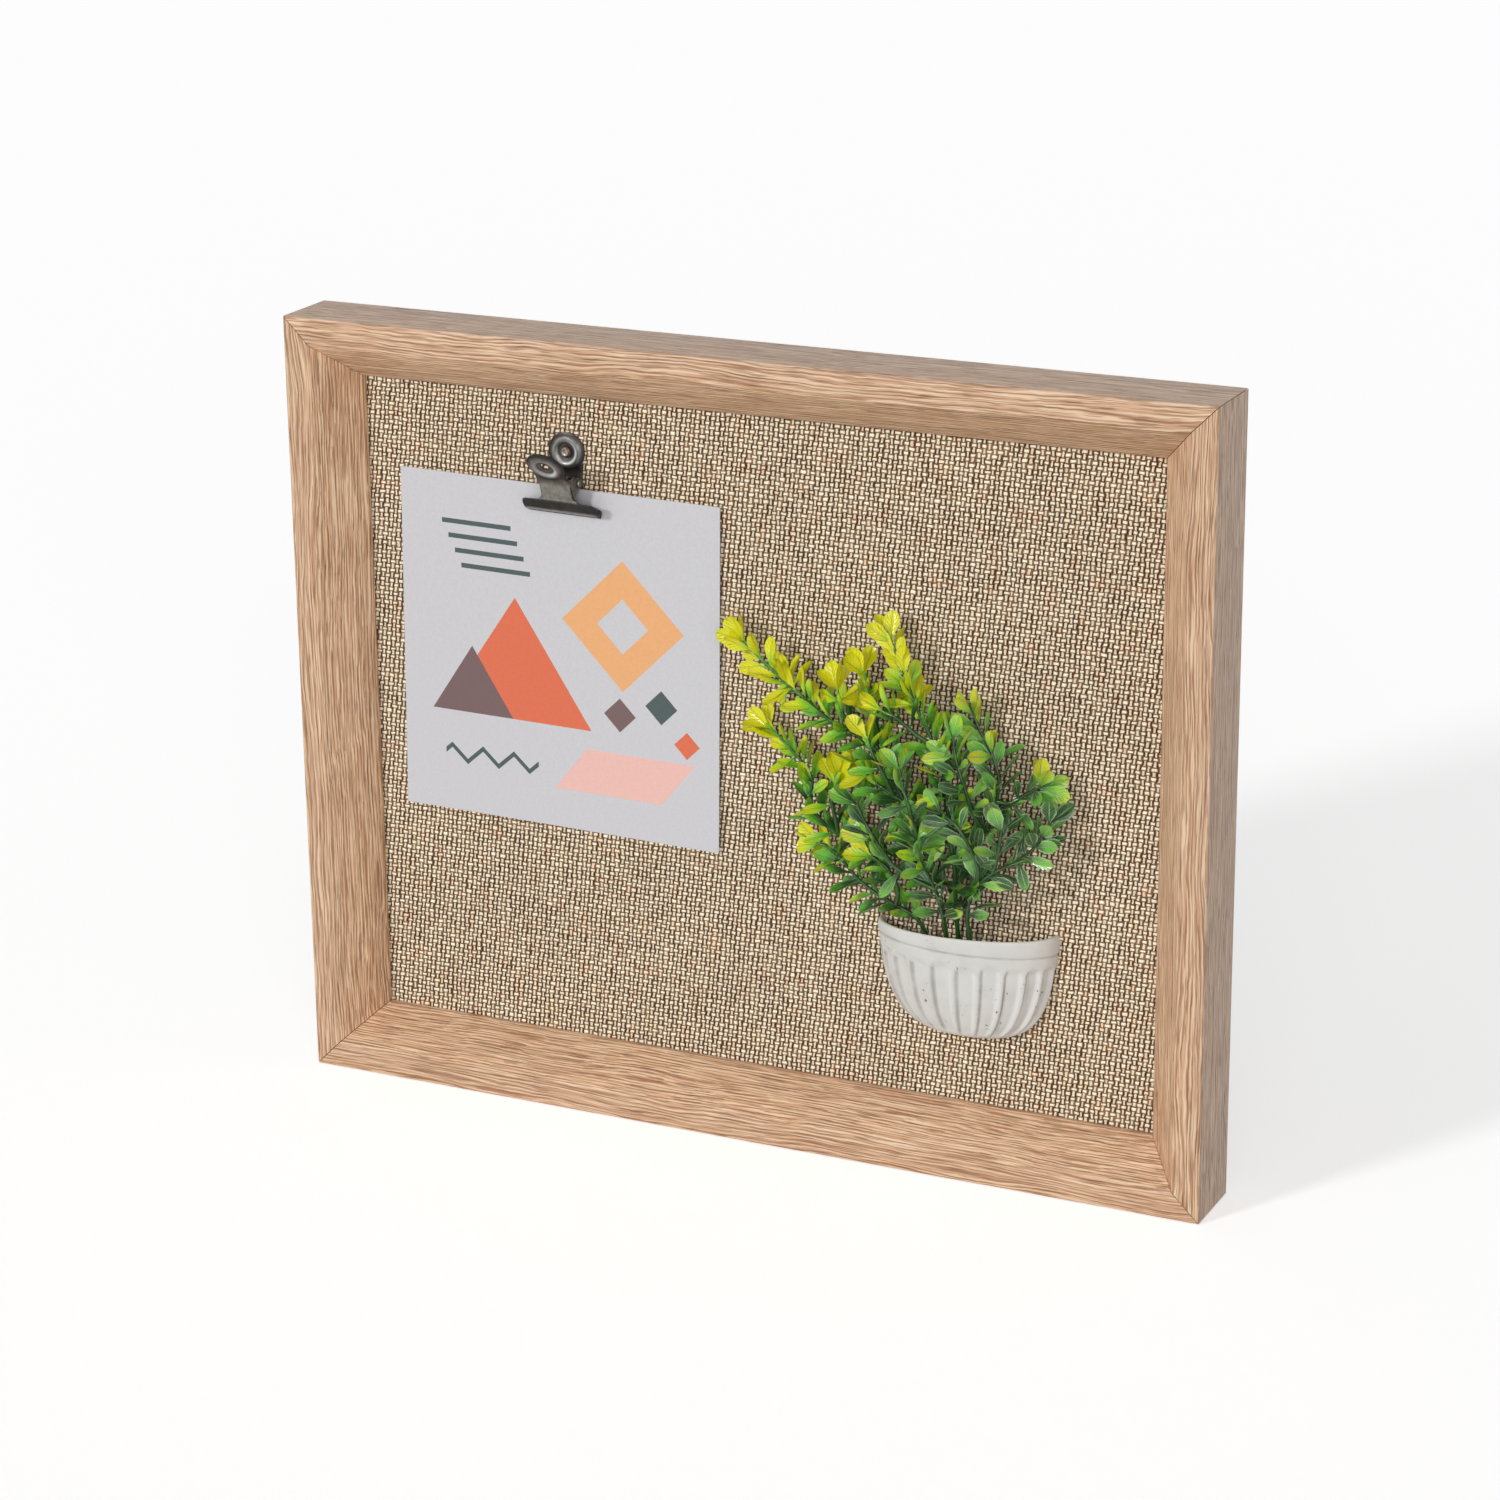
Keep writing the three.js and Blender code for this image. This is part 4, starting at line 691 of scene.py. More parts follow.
def sweep(bm, path, radii, sides):
    """Adds a round bar along a path, with closed ends. Returns its rings of vertices."""
    rings, turn = [], (path[1] - path[0]).orthogonal()
    angles = [math.tau * k / sides for k in range(sides)]
    for i, point in enumerate(path):
        along = (path[min(i + 1, len(path) - 1)] - path[max(i - 1, 0)]).normalized()
        turn = square_to(turn, along)
        other = along.cross(turn)
        rings.append([bm.verts.new(
            point + (turn * math.cos(a) + other * math.sin(a)) * radii[i]) for a in angles])
    for near, far in zip(rings, rings[1:]):
        bridge(bm, near, far, True)
    bm.faces.new(list(reversed(rings[0])))
    bm.faces.new(rings[-1])
    return rings


# Rails

GRAIN_SHIFT = 0.41


def rail_frame(side):
    """The outer corner where a rail starts, its direction along and inwards, and its outside length."""
    left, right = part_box("rail_left")[0].x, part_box("rail_right")[1].x
    bottom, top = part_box("rail_bottom")[0].z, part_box("rail_top")[1].z
    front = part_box("rail_bottom")[0].y
    x, z = Vector((1, 0, 0)), Vector((0, 0, 1))
    return {
        "bottom": (Vector((left, front, bottom)), x, z, right - left),
        "left": (Vector((left, front, bottom)), z, x, top - bottom),
        "top": (Vector((left, front, top)), x, -z, right - left),
        "right": (Vector((right, front, bottom)), z, -x, top - bottom),
    }[side]


def build_rail(side, settings, look):
    corner, along, inward, whole = rail_frame(side)
    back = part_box("rail_bottom")[1].y - corner.y
    inner = settings.flat_width + settings.bevel_width
    recess = settings.bevel_depth + settings.lip
    section = [
        (0, 0), (settings.flat_width, 0), (inner, settings.bevel_depth), (inner, recess),
        (settings.wall, recess), (settings.wall, back), (0, back)]
    gap = settings.mitre_gap
    bm = bmesh.new()
    end_face = bm.faces.new([bm.verts.new(
        corner + inward * edge + Vector((0, depth, 0)) + along * (edge + gap)) for edge, depth in section])
    for vert in extrude(bm, [end_face], (0, 0, 0)):
        edge = (vert.co - corner).dot(inward)
        vert.co += along * (whole - 2 * (edge + gap))
    set_normals(bm)
    bevel(bm, [e for e in bm.edges if e.calc_length() > whole / 2], settings.edge_round, 3)
    bevel(bm, sharp_edges(bm, 44), settings.mitre_gap, 1)
    grain, wear_and_painted_light = new_layers(bm, "grain", "wear_and_painted_light")
    shift = GRAIN_SHIFT * SIDES.index(side)
    for vert in bm.verts:
        offset = vert.co - corner
        edge = offset.dot(inward)
        vert[grain] = (offset.dot(along) + shift, edge + shift, offset.y)
        # Outer side and flat band, for the painted sheen and the painted shade.
        vert[wear_and_painted_light] = (*(max(0.0, 1 - run / settings.edge_round) for run in (edge, offset.y)), 0)
    add_piece(f"oak_rail_{side}", bm, look, "frame", [f"rail_{side}"], 28)


class COLLAGE_OT_rails(bpy.types.Operator):
    """Builds the four mitred oak rails"""

    bl_idname = "collage.rails"
    bl_label = "Rails"

    def execute(self, context):
        settings = context.scene.collage_rails
        look = oak_material(settings)
        for side in SIDES:
            build_rail(side, settings, look)
        return {"FINISHED"}


# Board

LINEN_CELLS = (60, 48)
PANEL_ROUND = 0.0004


def build_linen(settings):
    low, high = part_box("linen_cover")
    middle, size = (low + high) / 2, high - low
    bm = bmesh.new()
    bmesh.ops.create_grid(bm, x_segments=LINEN_CELLS[0], y_segments=LINEN_CELLS[1], size=0.5)
    scale = Matrix.Diagonal((size.x, size.y, size.z, 1))
    move(bm, Matrix.Translation((middle.x, low.y, middle.z)) @ scale @ rotation(90, "X"))

    def fold(half_x, half_z):
        """Grows the rim to the back, kept within these halves of the middle."""
        for vert in verts_in(bmesh.ops.extrude_edge_only(bm, edges=boundary(bm))["geom"]):
            x, _, z = vert.co - middle
            vert.co = (middle.x + max(-half_x, min(half_x, x)), high.y, middle.z + max(-half_z, min(half_z, z)))

    fold(size.x, size.z)
    fold(size.x / 2 - settings.hem, size.z / 2 - settings.hem)
    bmesh.ops.remove_doubles(bm, verts=bm.verts, dist=1e-7)
    piece = add_piece("linen", bm, linen_material(settings), "frame", ["linen_cover"])
    wrapped = 2 * (size.y + settings.hem)
    size.x + wrapped
    size.z + wrapped


def build_back_panel(settings):
    low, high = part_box("back_panel")
    bm = bmesh.new()
    bmesh.ops.create_cube(bm, size=1)
    move(bm, Matrix.Translation((low + high) / 2) @ Matrix.Diagonal((*(high - low), 1)))
    bevel(bm, bm.edges[:], PANEL_ROUND)
    look = board_material("hardboard", settings.hardboard, 0.7)
    add_piece("hardboard_panel", bm, look, "frame", ["back_panel"])
    paint_node("core_board", board_material("grey_board", settings.core, 0.85))


class COLLAGE_OT_board(bpy.types.Operator):
    """Builds the stretched linen and the back panel"""

    bl_idname = "collage.board"
    bl_label = "Board"

    def execute(self, context):
        settings = context.scene.collage_board
        build_linen(settings)
        build_back_panel(settings)
        return {"FINISHED"}


# Fittings on the back. Shapes are in millimetres.

BUTTON_TURNS = {"bottom": 0, "left": 90, "top": 180, "right": -90}
BUTTON_HOLE = 1.6


def build_button(side, look, settings):
    """A tapered plate with a round end and a screw hole, turned to reach over the panel from its side."""
    low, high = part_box(f"turn_button_{side}")
    middle = sum(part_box(f"button_screw_{side}"), Vector()) / 2
    flank = [(3.7, 3), (3.45, 6)]
    outline = arc_points((0, 0), 4, -180, 0, 16) + flank + arc_points((0, 9), 3.2, 0, 180, 14)
    outline += [(-x, z) for x, z in reversed(flank)]
    angles = [math.atan2(z, x) for x, z in outline]
    hole = [(BUTTON_HOLE * math.cos(a), BUTTON_HOLE * math.sin(a)) for a in angles]
    bm = bmesh.new()
    outer, inner = ([bm.verts.new((x * MM, 0, z * MM)) for x, z in loop] for loop in (outline, hole))
    extrude(bm, bridge(bm, outer, inner, True), (0, high.y - low.y, 0))
    set_normals(bm)
    bevel(bm, sharp_edges(bm, 60), settings.edge_round)
    move(bm, Matrix.Translation((middle.x, low.y, middle.z)) @ rotation(BUTTON_TURNS[side], "Y"))
    add_piece(f"zinc_button_{side}", bm, look, f"{side}_button", [f"turn_button_{side}"])


def cross_recess(bm, ring, reach, arm, depth):
    """Caps a ring of vertices with a flat face that has a driver's cross sunk into it."""
    height = ring[0].co.z
    corners = [(reach, -arm), (reach, arm), (arm, arm), (arm, reach), (-arm, reach), (-arm, arm),
               (-reach, arm), (-reach, -arm), (-arm, -arm), (-arm, -reach), (arm, -reach), (arm, -arm)]
    cross = [bm.verts.new((x * MM, y * MM, height)) for x, y in corners]
    lines = [bm.edges.new(pair) for pair in zip(cross, cross[1:] + cross[:1])]
    around = [e for e in boundary(bm) if e.verts[0] in ring and e.verts[1] in ring]
    bmesh.ops.triangle_fill(bm, use_beauty=True, edges=around + lines, normal=(0, 0, 1))
    for face in [f for f in bm.faces if all(v in cross for v in f.verts)]:
        middle = face.calc_center_median()
        if min(abs(middle.x), abs(middle.y)) < arm * MM:
            bm.faces.remove(face)
    floor = extrude(bm, [bm.faces.new(cross)], (0, 0, -depth * MM), False)
    bmesh.ops.scale(bm, vec=(0.72, 0.72, 1), verts=floor)


def headed(node, head_radius, head_height, shank_radius, crossed):
    """A screw or nail whose head faces +Y, over the CAD node of that name."""
    low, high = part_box(node)
    seat = (high.y - low.y) / MM - head_height
    flat = 0.62 * head_radius if crossed else 0
    dome = bezier([(head_radius, 0.35 * head_height), (0.9 * head_radius, head_height), (flat, head_height)], 7)
    profile = [(0, -seat), (0.35 * shank_radius, -seat), (shank_radius, -0.8 * seat), (shank_radius, 0),
               (head_radius - 0.1, 0), (head_radius, 0.1), *dome]
    bm = turned(profile, 32, Matrix.Identity(4))
    if crossed:
        ring = list({v for e in boundary(bm) for v in e.verts})
        cross_recess(bm, ring, 0.5 * head_radius, 0.14 * head_radius, 0.5 * head_height)
        set_normals(bm)
    middle = (low + high) / 2
    move(bm, Matrix.Translation((middle.x, low.y + seat * MM, middle.z)) @ rotation(-90, "X"))
    return bm


def build_hanger(look, settings):
    """A strip with flat feet and a raised bridge, toothed along the bridge's lower edge."""
    low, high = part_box("sawtooth_hanger")
    half, raised, teeth, depth, rise, sheet, corner = 22, 10, 8, 1.6, 1.2, 0.8, 1.6
    columns = [(-half, 0, 0), (-17.5, 0, 0), (-13, 0, 0), (-12.2, 0.15, 0), (-10.8, 0.85, 0), (-raised, 1, 0)]
    pitch = 2 * raised / teeth
    for tooth in range(teeth):
        start = -raised + tooth * pitch
        columns += [(start + 0.5 * pitch, 1, depth), (start + pitch, 1, 0)]
    columns += [(-x, lift, 0) for x, lift, _ in reversed(columns[:5])]
    middle = (low.x + high.x) / 2
    bm = bmesh.new()
    rows = [[bm.verts.new((middle + x * MM, low.y + lift * rise * MM, z)) for z in (low.z + cut * MM, high.z)]
            for x, lift, cut in columns]
    faces = [face for near, far in zip(rows, rows[1:]) for face in bridge(bm, near, far, flip=True)]
    extrude(bm, faces, (0, sheet * MM, 0))
    set_normals(bm)
    ends = [e for e in bm.edges if abs(e.verts[0].co.y - e.verts[1].co.y) > 0.5 * sheet * MM
            and all(abs(v.co.x - middle) > (half - 0.1) * MM for v in e.verts)]
    bevel(bm, ends, corner * MM, 5)
    bevel(bm, sharp_edges(bm, 60), settings.edge_round)
    add_piece("zinc_hanger", bm, look, "frame", ["sawtooth_hanger"])


class COLLAGE_OT_fittings(bpy.types.Operator):
    """Builds the turn buttons, their screws and the wall hanger"""

    bl_idname = "collage.fittings"
    bl_label = "Back fittings"

    def execute(self, context):
        settings = context.scene.collage_fittings
        look = metal_material("zinc", settings.zinc, settings.dull, 0.34, 0.9)
        for side in SIDES:
            build_button(side, look, settings)
            screw = headed(f"button_screw_{side}", 2.8, 1.4, 1.3, True)
            add_piece(f"zinc_screw_{side}", screw, look, "frame", [f"button_screw_{side}"])
        build_hanger(look, settings)
        for side in ("left", "right"):
            nail = headed(f"hanger_nail_{side}", 1.6, 0.5, 0.6, False)
            add_piece(f"zinc_nail_{side}", nail, look, "frame", [f"hanger_nail_{side}"])
        for corner in ("bottom_left", "top_left", "top_right", "bottom_right"):
            paint_node(f"v_nail_{corner}", look)
        return {"FINISHED"}


# Clip. Places are (sideways, forward of the linen, up from the pin) in millimetres.

CLIP_PLACE = Matrix.Translation((-0.0562, 0.00285, 0.183)) @ rotation(0.9, "Y")
PIVOT_FORWARD = 2.8
EAR_RADIUS = 5.5
EAR_UP = 8
EAR_RUN = 14
NECK_HALF = 4.8
NECK_REACH = 1.8
JAW_HALF = 11.1
LUG_RADIUS = 1.7
PLATE_FRONT = 0.8
COLUMNS = 24


def on_clip(sideways, forward, up):
    return CLIP_PLACE @ (Vector((sideways, -forward, up)) * MM)


def ear_loops():
    """Rings of (sideways, up, emboss, painted_highlight, oxide_and_shade) from the ear's hole out to its outline with
    a straight foot. The painted highlight is strongest on the crest's right side, and the dish and the outer rim take
    dark oxide and painted shade.
    """
    foot = [(-NECK_HALF + 2 * NECK_HALF * i / COLUMNS, 0) for i in range(COLUMNS + 1)]
    drop = math.sqrt(EAR_RADIUS**2 - NECK_HALF**2)
    shoulder = math.degrees(math.asin(drop / EAR_RADIUS))
    side = [(NECK_HALF, (EAR_UP - drop) * i / 4) for i in range(1, 4)]
    crown = arc_points((0, EAR_UP), EAR_RADIUS, -shoulder, 180 + shoulder, 44)
    outline = foot + side + crown + [(-x, up) for x, up in reversed(side)]
    angles = [math.atan2(up - EAR_UP, x) for x, up in outline]
    # Each ring is (radius, emboss, glint, dark oxide and painted shade), where a glint is a painted highlight.
    rings = [(1.5, -0.1, 0.1, 0.8), (1.8, 0, 0, 0.6), (2.3, 0, 0, 0.55), (2.6, 0.08, 0, 0.8), (2.85, 0.32, 0.25, 0.3),
             (3.15, 0.6, 0.9, 0), (3.45, 0.76, 0.55, 0.1), (3.8, 0.76, 0.12, 0.25), (4.2, 0.62, 0.05, 0.5),
             (4.55, 0.34, 0.05, 0.8), (4.9, 0.1, 0.02, 0.95)]
    loops = [[(r * math.cos(a), EAR_UP + r * math.sin(a), lift, glint * (0.3 + 0.7 * max(0, math.cos(a + 0.1))), dark_oxide_and_shade)
              for a in angles] for r, lift, glint, dark_oxide_and_shade in rings]
    return loops + [[(x, up, 0, 0.02, 0.95 * smooth(0, 2.5, up)) for x, up in outline]]


def jaw_widths(shoulder, low):
    """Rows of (up, half width) from the neck through its fillet and the shoulder to the jaw's lower edge."""
    neck, corner, steps = 2.25 - shoulder, -0.8 - shoulder, 14
    rows = [((neck + 0.35) * i / 4, NECK_HALF) for i in range(1, 5)]
    fillet = arc_points((NECK_HALF + 2.2, neck), 2.2, 180, 270, 8)
    rounding = arc_points((JAW_HALF - 0.8, corner), 0.75, 90, 0, 5)
    rows += [(up, half) for half, up in fillet + rounding]
    return rows + [(corner + (low - corner) * i / steps, JAW_HALF) for i in range(1, steps + 1)]


def plate_surface(shoulder, low, place):
    """The middle surface of one clip plate. Place turns (sideways, run, emboss) into a point."""
    bm = bmesh.new()
    (wear_and_painted_light,) = new_layers(bm, "wear_and_painted_light")

    def corner(sideways, run, lift, painted_highlight, oxide_and_shade):
        vert = bm.verts.new(place(sideways, run, lift))
        vert[wear_and_painted_light] = (painted_highlight, oxide_and_shade, 0)
        return vert

    loops = [[corner(*spot) for spot in loop] for loop in ear_loops()]
    for near, far in zip(loops, loops[1:]):
        bridge(bm, near, far, True, True)
    above = loops[-1][:COLUMNS + 1]
    # Jaw rows: painted shade on the side edges, the upper band and the lower edge, and a faint painted highlight on
    # the lower band.
    for run, half in jaw_widths(shoulder, low):
        lower, edge = smooth(-8.4, -9, run), smooth(-10.7, -11.1, run)
        jaw = 0.9 * smooth(-4.8, -6.2, run) * (1 - lower) + edge
        row = [corner(half * (2 * i / COLUMNS - 1), run, 0, 0.12 * lower * (1 - edge),
                      max(jaw, 0.8 * (i in (0, COLUMNS)))) for i in range(COLUMNS + 1)]
        bridge(bm, above, row, flip=True)
        above = row
    return bm


def add_lugs(bm, sideways, foot, root):
    """Two ears folded off a plate to carry the pin. Foot and root are (forward, up) from the pin, on the plate."""
    bend = (-90, 90) if foot[0] < 0 else (270, 90)
    outline = [foot, *arc_points((0, 0), LUG_RADIUS, *bend, 14), root]
    for x in (-sideways, sideways):
        bm.faces.new([bm.verts.new(on_clip(x, PIVOT_FORWARD + f, up)) for f, up in outline])


def front_profile():
    """The front plate's middle line as (forward, up), from the ear down over the bend to the rolled lip."""
    middle, bend_up, lean = PIVOT_FORWARD + 3.05, 0.6, math.radians(41)
    bent = middle + NECK_REACH
    ear = [(bent + s * math.sin(lean), bend_up + s * math.cos(lean)) for s in (EAR_RUN, 7, 1.2)]
    bend = bezier([ear[-1], (bent, bend_up), (bent - NECK_REACH / 4, bend_up - 1.2)], 6)[1:]
    bead = (PIVOT_FORWARD - 0.75, -8.75)
    jaw = bezier([(middle, -4.2), (middle + 0.4, -5), (middle + 0.4, -8.2), (bead[0] + 0.45, bead[1])], 16)
    roll = arc_points(bead, 0.45, -20, -300, 14)
    return ear + bend + jaw + roll


def close_jaw(bm):
    """Folds the jaw's two ends back towards the card, lower behind than in front."""
    bulge, forward, up, fall = 2.6, 1.8, -7.6, 1.2
    wear_and_painted_light = bm.verts.layers.float_vector["wear_and_painted_light"]
    to_clip = CLIP_PLACE.inverted()
    for side in (-JAW_HALF, JAW_HALF):
        spots = {vert: (to_clip @ vert.co) / MM for vert in bm.verts}
        near = [vert for vert, spot in spots.items() if abs(spot.x - side) < 0.2 and spot.y < -bulge]
        far = [bm.verts.new(on_clip(spots[vert].x, forward, up - fall * i / len(near)))
               for i, vert in enumerate(near)]
        # The folded ends are painted fully in shade.
        for vert in far:
            vert[wear_and_painted_light] = (0, 1, 0)
        bridge(bm, near, far)


def add_plate(name, bm, look, body, settings):
    """Adds a clip plate that was built as a middle surface, and gives it its thickness and soft edges."""
    piece = add_piece(name, bm, look, body, [f"{name}_plate"], 40)
    wall = piece.modifiers.new("thickness", "SOLIDIFY")
    wall.thickness, wall.offset, wall.use_even_offset = settings.sheet, 0, True
    soft = piece.modifiers.new("edges", "BEVEL")
    soft.width, soft.segments = settings.edge_round, 2
    soft.limit_method, soft.angle_limit = "ANGLE", math.radians(50)


def build_front_plate(look, settings):
    line = [Vector(spot) for spot in front_profile()]
    runs = [0.0]
    for here, after in zip(line, line[1:]):
        runs.append(runs[-1] + (after - here).length)

    def place(sideways, run, lift):
        """A run up the sheet is measured from the bend. Lift stands out of the front face."""
        target = EAR_RUN - run
        k = max(i for i in range(len(line) - 1) if runs[i] <= target or i == 0)
        here, after = line[k], line[k + 1]
        forward, up = here.lerp(after, (target - runs[k]) / (runs[k + 1] - runs[k]))
        along = (after - here).normalized()
        return on_clip(sideways, forward - along.y * lift, up + along.x * lift)

    bm = plate_surface(5.9, EAR_RUN - runs[-1], place)
    close_jaw(bm)
    add_lugs(bm, NECK_HALF - 0.3, (3.1, -4), (3.05 + NECK_REACH, 1))
    add_plate("clip_front", bm, look, "clip_jaw", settings)


def build_rear_plate(look, settings):
    bm = plate_surface(5, -9.5, lambda x, up, lift: on_clip(x, 0.4 + lift, up))
    add_lugs(bm, 3.5, (-2.4, -1.7), (-2.4, 1))
    add_plate("clip_rear", bm, look, "frame", settings)


def build_pin(look):
    end, head = 5.6, 5.1
    half = [(0, end), (0.8, end), (1.1, end - 0.12), (1.2, end - 0.3), (1.2, head), (0.75, head)]
    profile = half + [(radius, -height) for radius, height in reversed(half)]
    place = CLIP_PLACE @ Matrix.Translation(FRONT * PIVOT_FORWARD * MM) @ rotation(90, "Y")
    add_piece("clip_pin", turned(profile, 24, place), look, "frame", ["clip_pivot_pin"])


def build_rivet(look):
    """A tubular rivet: a domed head with a dimple, and a shank through the board."""
    dome = bezier([(1.65, 0.25), (1.55, 0.9), (0.95, 0.9)], 8)
    dimple = bezier([(0.7, 0.86), (0.5, 0.75), (0.45, 0.45)], 5)
    profile = [(0, -5.5), (0.9, -5.5), (1.1, -5.3), (1.1, 0), (1.55, 0), (1.65, 0.1), *dome, *dimple, (0, 0.4)]
    face = CLIP_PLACE @ Matrix.Translation((0, -PLATE_FRONT * MM, EAR_UP * MM)) @ rotation(90, "X")
    bm = turned(profile, 32, face)
    (wear_and_painted_light,) = new_layers(bm, "wear_and_painted_light")
    to_face = face.inverted()
    for vert in bm.verts:
        spot = (to_face @ vert.co) / MM
        vert[wear_and_painted_light] = (smooth(1.15, 0.85, spot.xy.length), 0, 0)
    add_piece("clip_rivet_head", bm, look, "frame", ["clip_rivet"])


def build_spring(look):
    """A torsion spring: down the rear plate, round the pin, and up the front plate."""
    radius, wire, lean = 1.35, 0.35, 49
    turns = 3 + (180 - lean) / 360
    climb = 1.25 * turns

    def coil(run):
        turn = math.pi + run * turns * math.tau
        return Vector(((run - 0.5) * climb, PIVOT_FORWARD + radius * math.cos(turn), radius * math.sin(turn)))

    steps = round(turns * 26)
    spots = [coil(0) + Vector((0, 0, rise)) for rise in (2.8, 1.9, 1.0, 0.4)]
    spots += [coil(i / steps) for i in range(steps + 1)]
    leg = Vector((0, math.sin(math.radians(lean)), math.cos(math.radians(lean))))
    spots += [coil(1) + leg * run for run in (0.6, 2.0, 3.5, 5.0, 6.5)]
    bm = bmesh.new()
    sweep(bm, [on_clip(*spot) for spot in spots], [wire * MM] * len(spots), 10)
    piece = add_piece("clip_spring_wire", bm, look, None, ["clip_spring"], 50)
    on_clip(-climb / 2, PIVOT_FORWARD, 0)
    on_clip(climb / 2, PIVOT_FORWARD, 0)
    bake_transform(piece)


class COLLAGE_OT_clip(bpy.types.Operator):
    """Builds the spring clip"""

    bl_idname = "collage.clip"
    bl_label = "Clip"

    def execute(self, context):
        settings = context.scene.collage_clip
        gunmetal = gunmetal_material(settings)
        steel = metal_material("bright_steel", settings.steel, settings.patina, 0.2, 0.95)
        build_rear_plate(gunmetal, settings)
        build_front_plate(gunmetal, settings)
        build_pin(gunmetal)
        build_rivet(rivet_material(settings))
        build_spring(steel)
        return {"FINISHED"}


# Card


def build_card(settings):
    """A square card, bowed a little towards its free lower corners, with the print on its front."""
    size, thickness, top, shift, back = 100, 0.3, -2.1, -2.7, 0.85
    shares = [i / 20 for i in range(21)]
    bm = bmesh.new()
    (layer,) = new_layers(bm, "print")

    def corner(forward, across, up):
        bow = settings.bow / MM * (1 - up) ** 2 * (0.35 + 0.65 * (2 * across - 1) ** 2)
        vert = bm.verts.new(on_clip(shift + (across - 0.5) * size, forward + bow, top - size + up * size))
        vert[layer] = (across * size, up * size, 0)
        return vert

    def border(rows):
        return rows[0] + [row[-1] for row in rows[1:]] + rows[-1][-2::-1] + [row[0] for row in rows[-2:0:-1]]

    rear, front = ([[corner(forward, across, up) for across in shares] for up in shares]
                   for forward in (back, back + thickness))
    for below, above in zip(rear, rear[1:]):
        bridge(bm, below, above, flip=True)
    for below, above in zip(front, front[1:]):
        for face in bridge(bm, below, above):
            face.material_index = 1
    bridge(bm, border(front), border(rear), True, True)
    set_normals(bm)
    add_piece("card_sheet", bm, card_stock_material(settings), "card", ["photo_card"], 40,
              [card_print_material(settings)])


class COLLAGE_OT_card(bpy.types.Operator):
    """Builds the square card in the clip"""

    bl_idname = "collage.card"
    bl_label = "Card"

    def execute(self, context):
        build_card(context.scene.collage_card)
        return {"FINISHED"}


# Pot. Shapes are in millimetres from the rim's middle on the linen.

PLANT_PLACE = Matrix.Translation((0.0646, 0.00275, 0.069))
POT_HALF_WIDTH = 26.6
POT_PROJECTION = 12
POT_WALL = 1.9
POT_HEIGHT = 29.5
OUTER_FLAT = POT_PROJECTION / POT_HALF_WIDTH
INNER_FLAT = (POT_PROJECTION - POT_WALL) / (POT_HALF_WIDTH - POT_WALL)


def half_turn(profile, steps, seam):
    """A half-round bmesh on the -Y side of the XZ plane. Its layer marks the profile's points from the seam on."""
    bm = bmesh.new()
    layer = bm.verts.layers.float.new("inner")
    points = [bm.verts.new((radius, 0, height)) for radius, height in profile]
    for vert in points[seam:]:
        vert[layer] = 1.0
    lines = [bm.edges.new(pair) for pair in zip(points, points[1:])]
    bmesh.ops.spin(bm, geom=points + lines, cent=(0, 0, 0), axis=(0, 0, -1), angle=math.pi, steps=steps)
    bmesh.ops.remove_doubles(bm, verts=bm.verts, dist=1e-4)
    return bm, layer


def add_half(name, bm, look, node, sharp):
    """Closes a half-round piece along the linen and adds it at its place."""
    bmesh.ops.edgeloop_fill(bm, edges=boundary(bm))
    set_normals(bm)
    move(bm, PLANT_PLACE)
    add_piece(name, bm, look, "frame", [node], sharp)


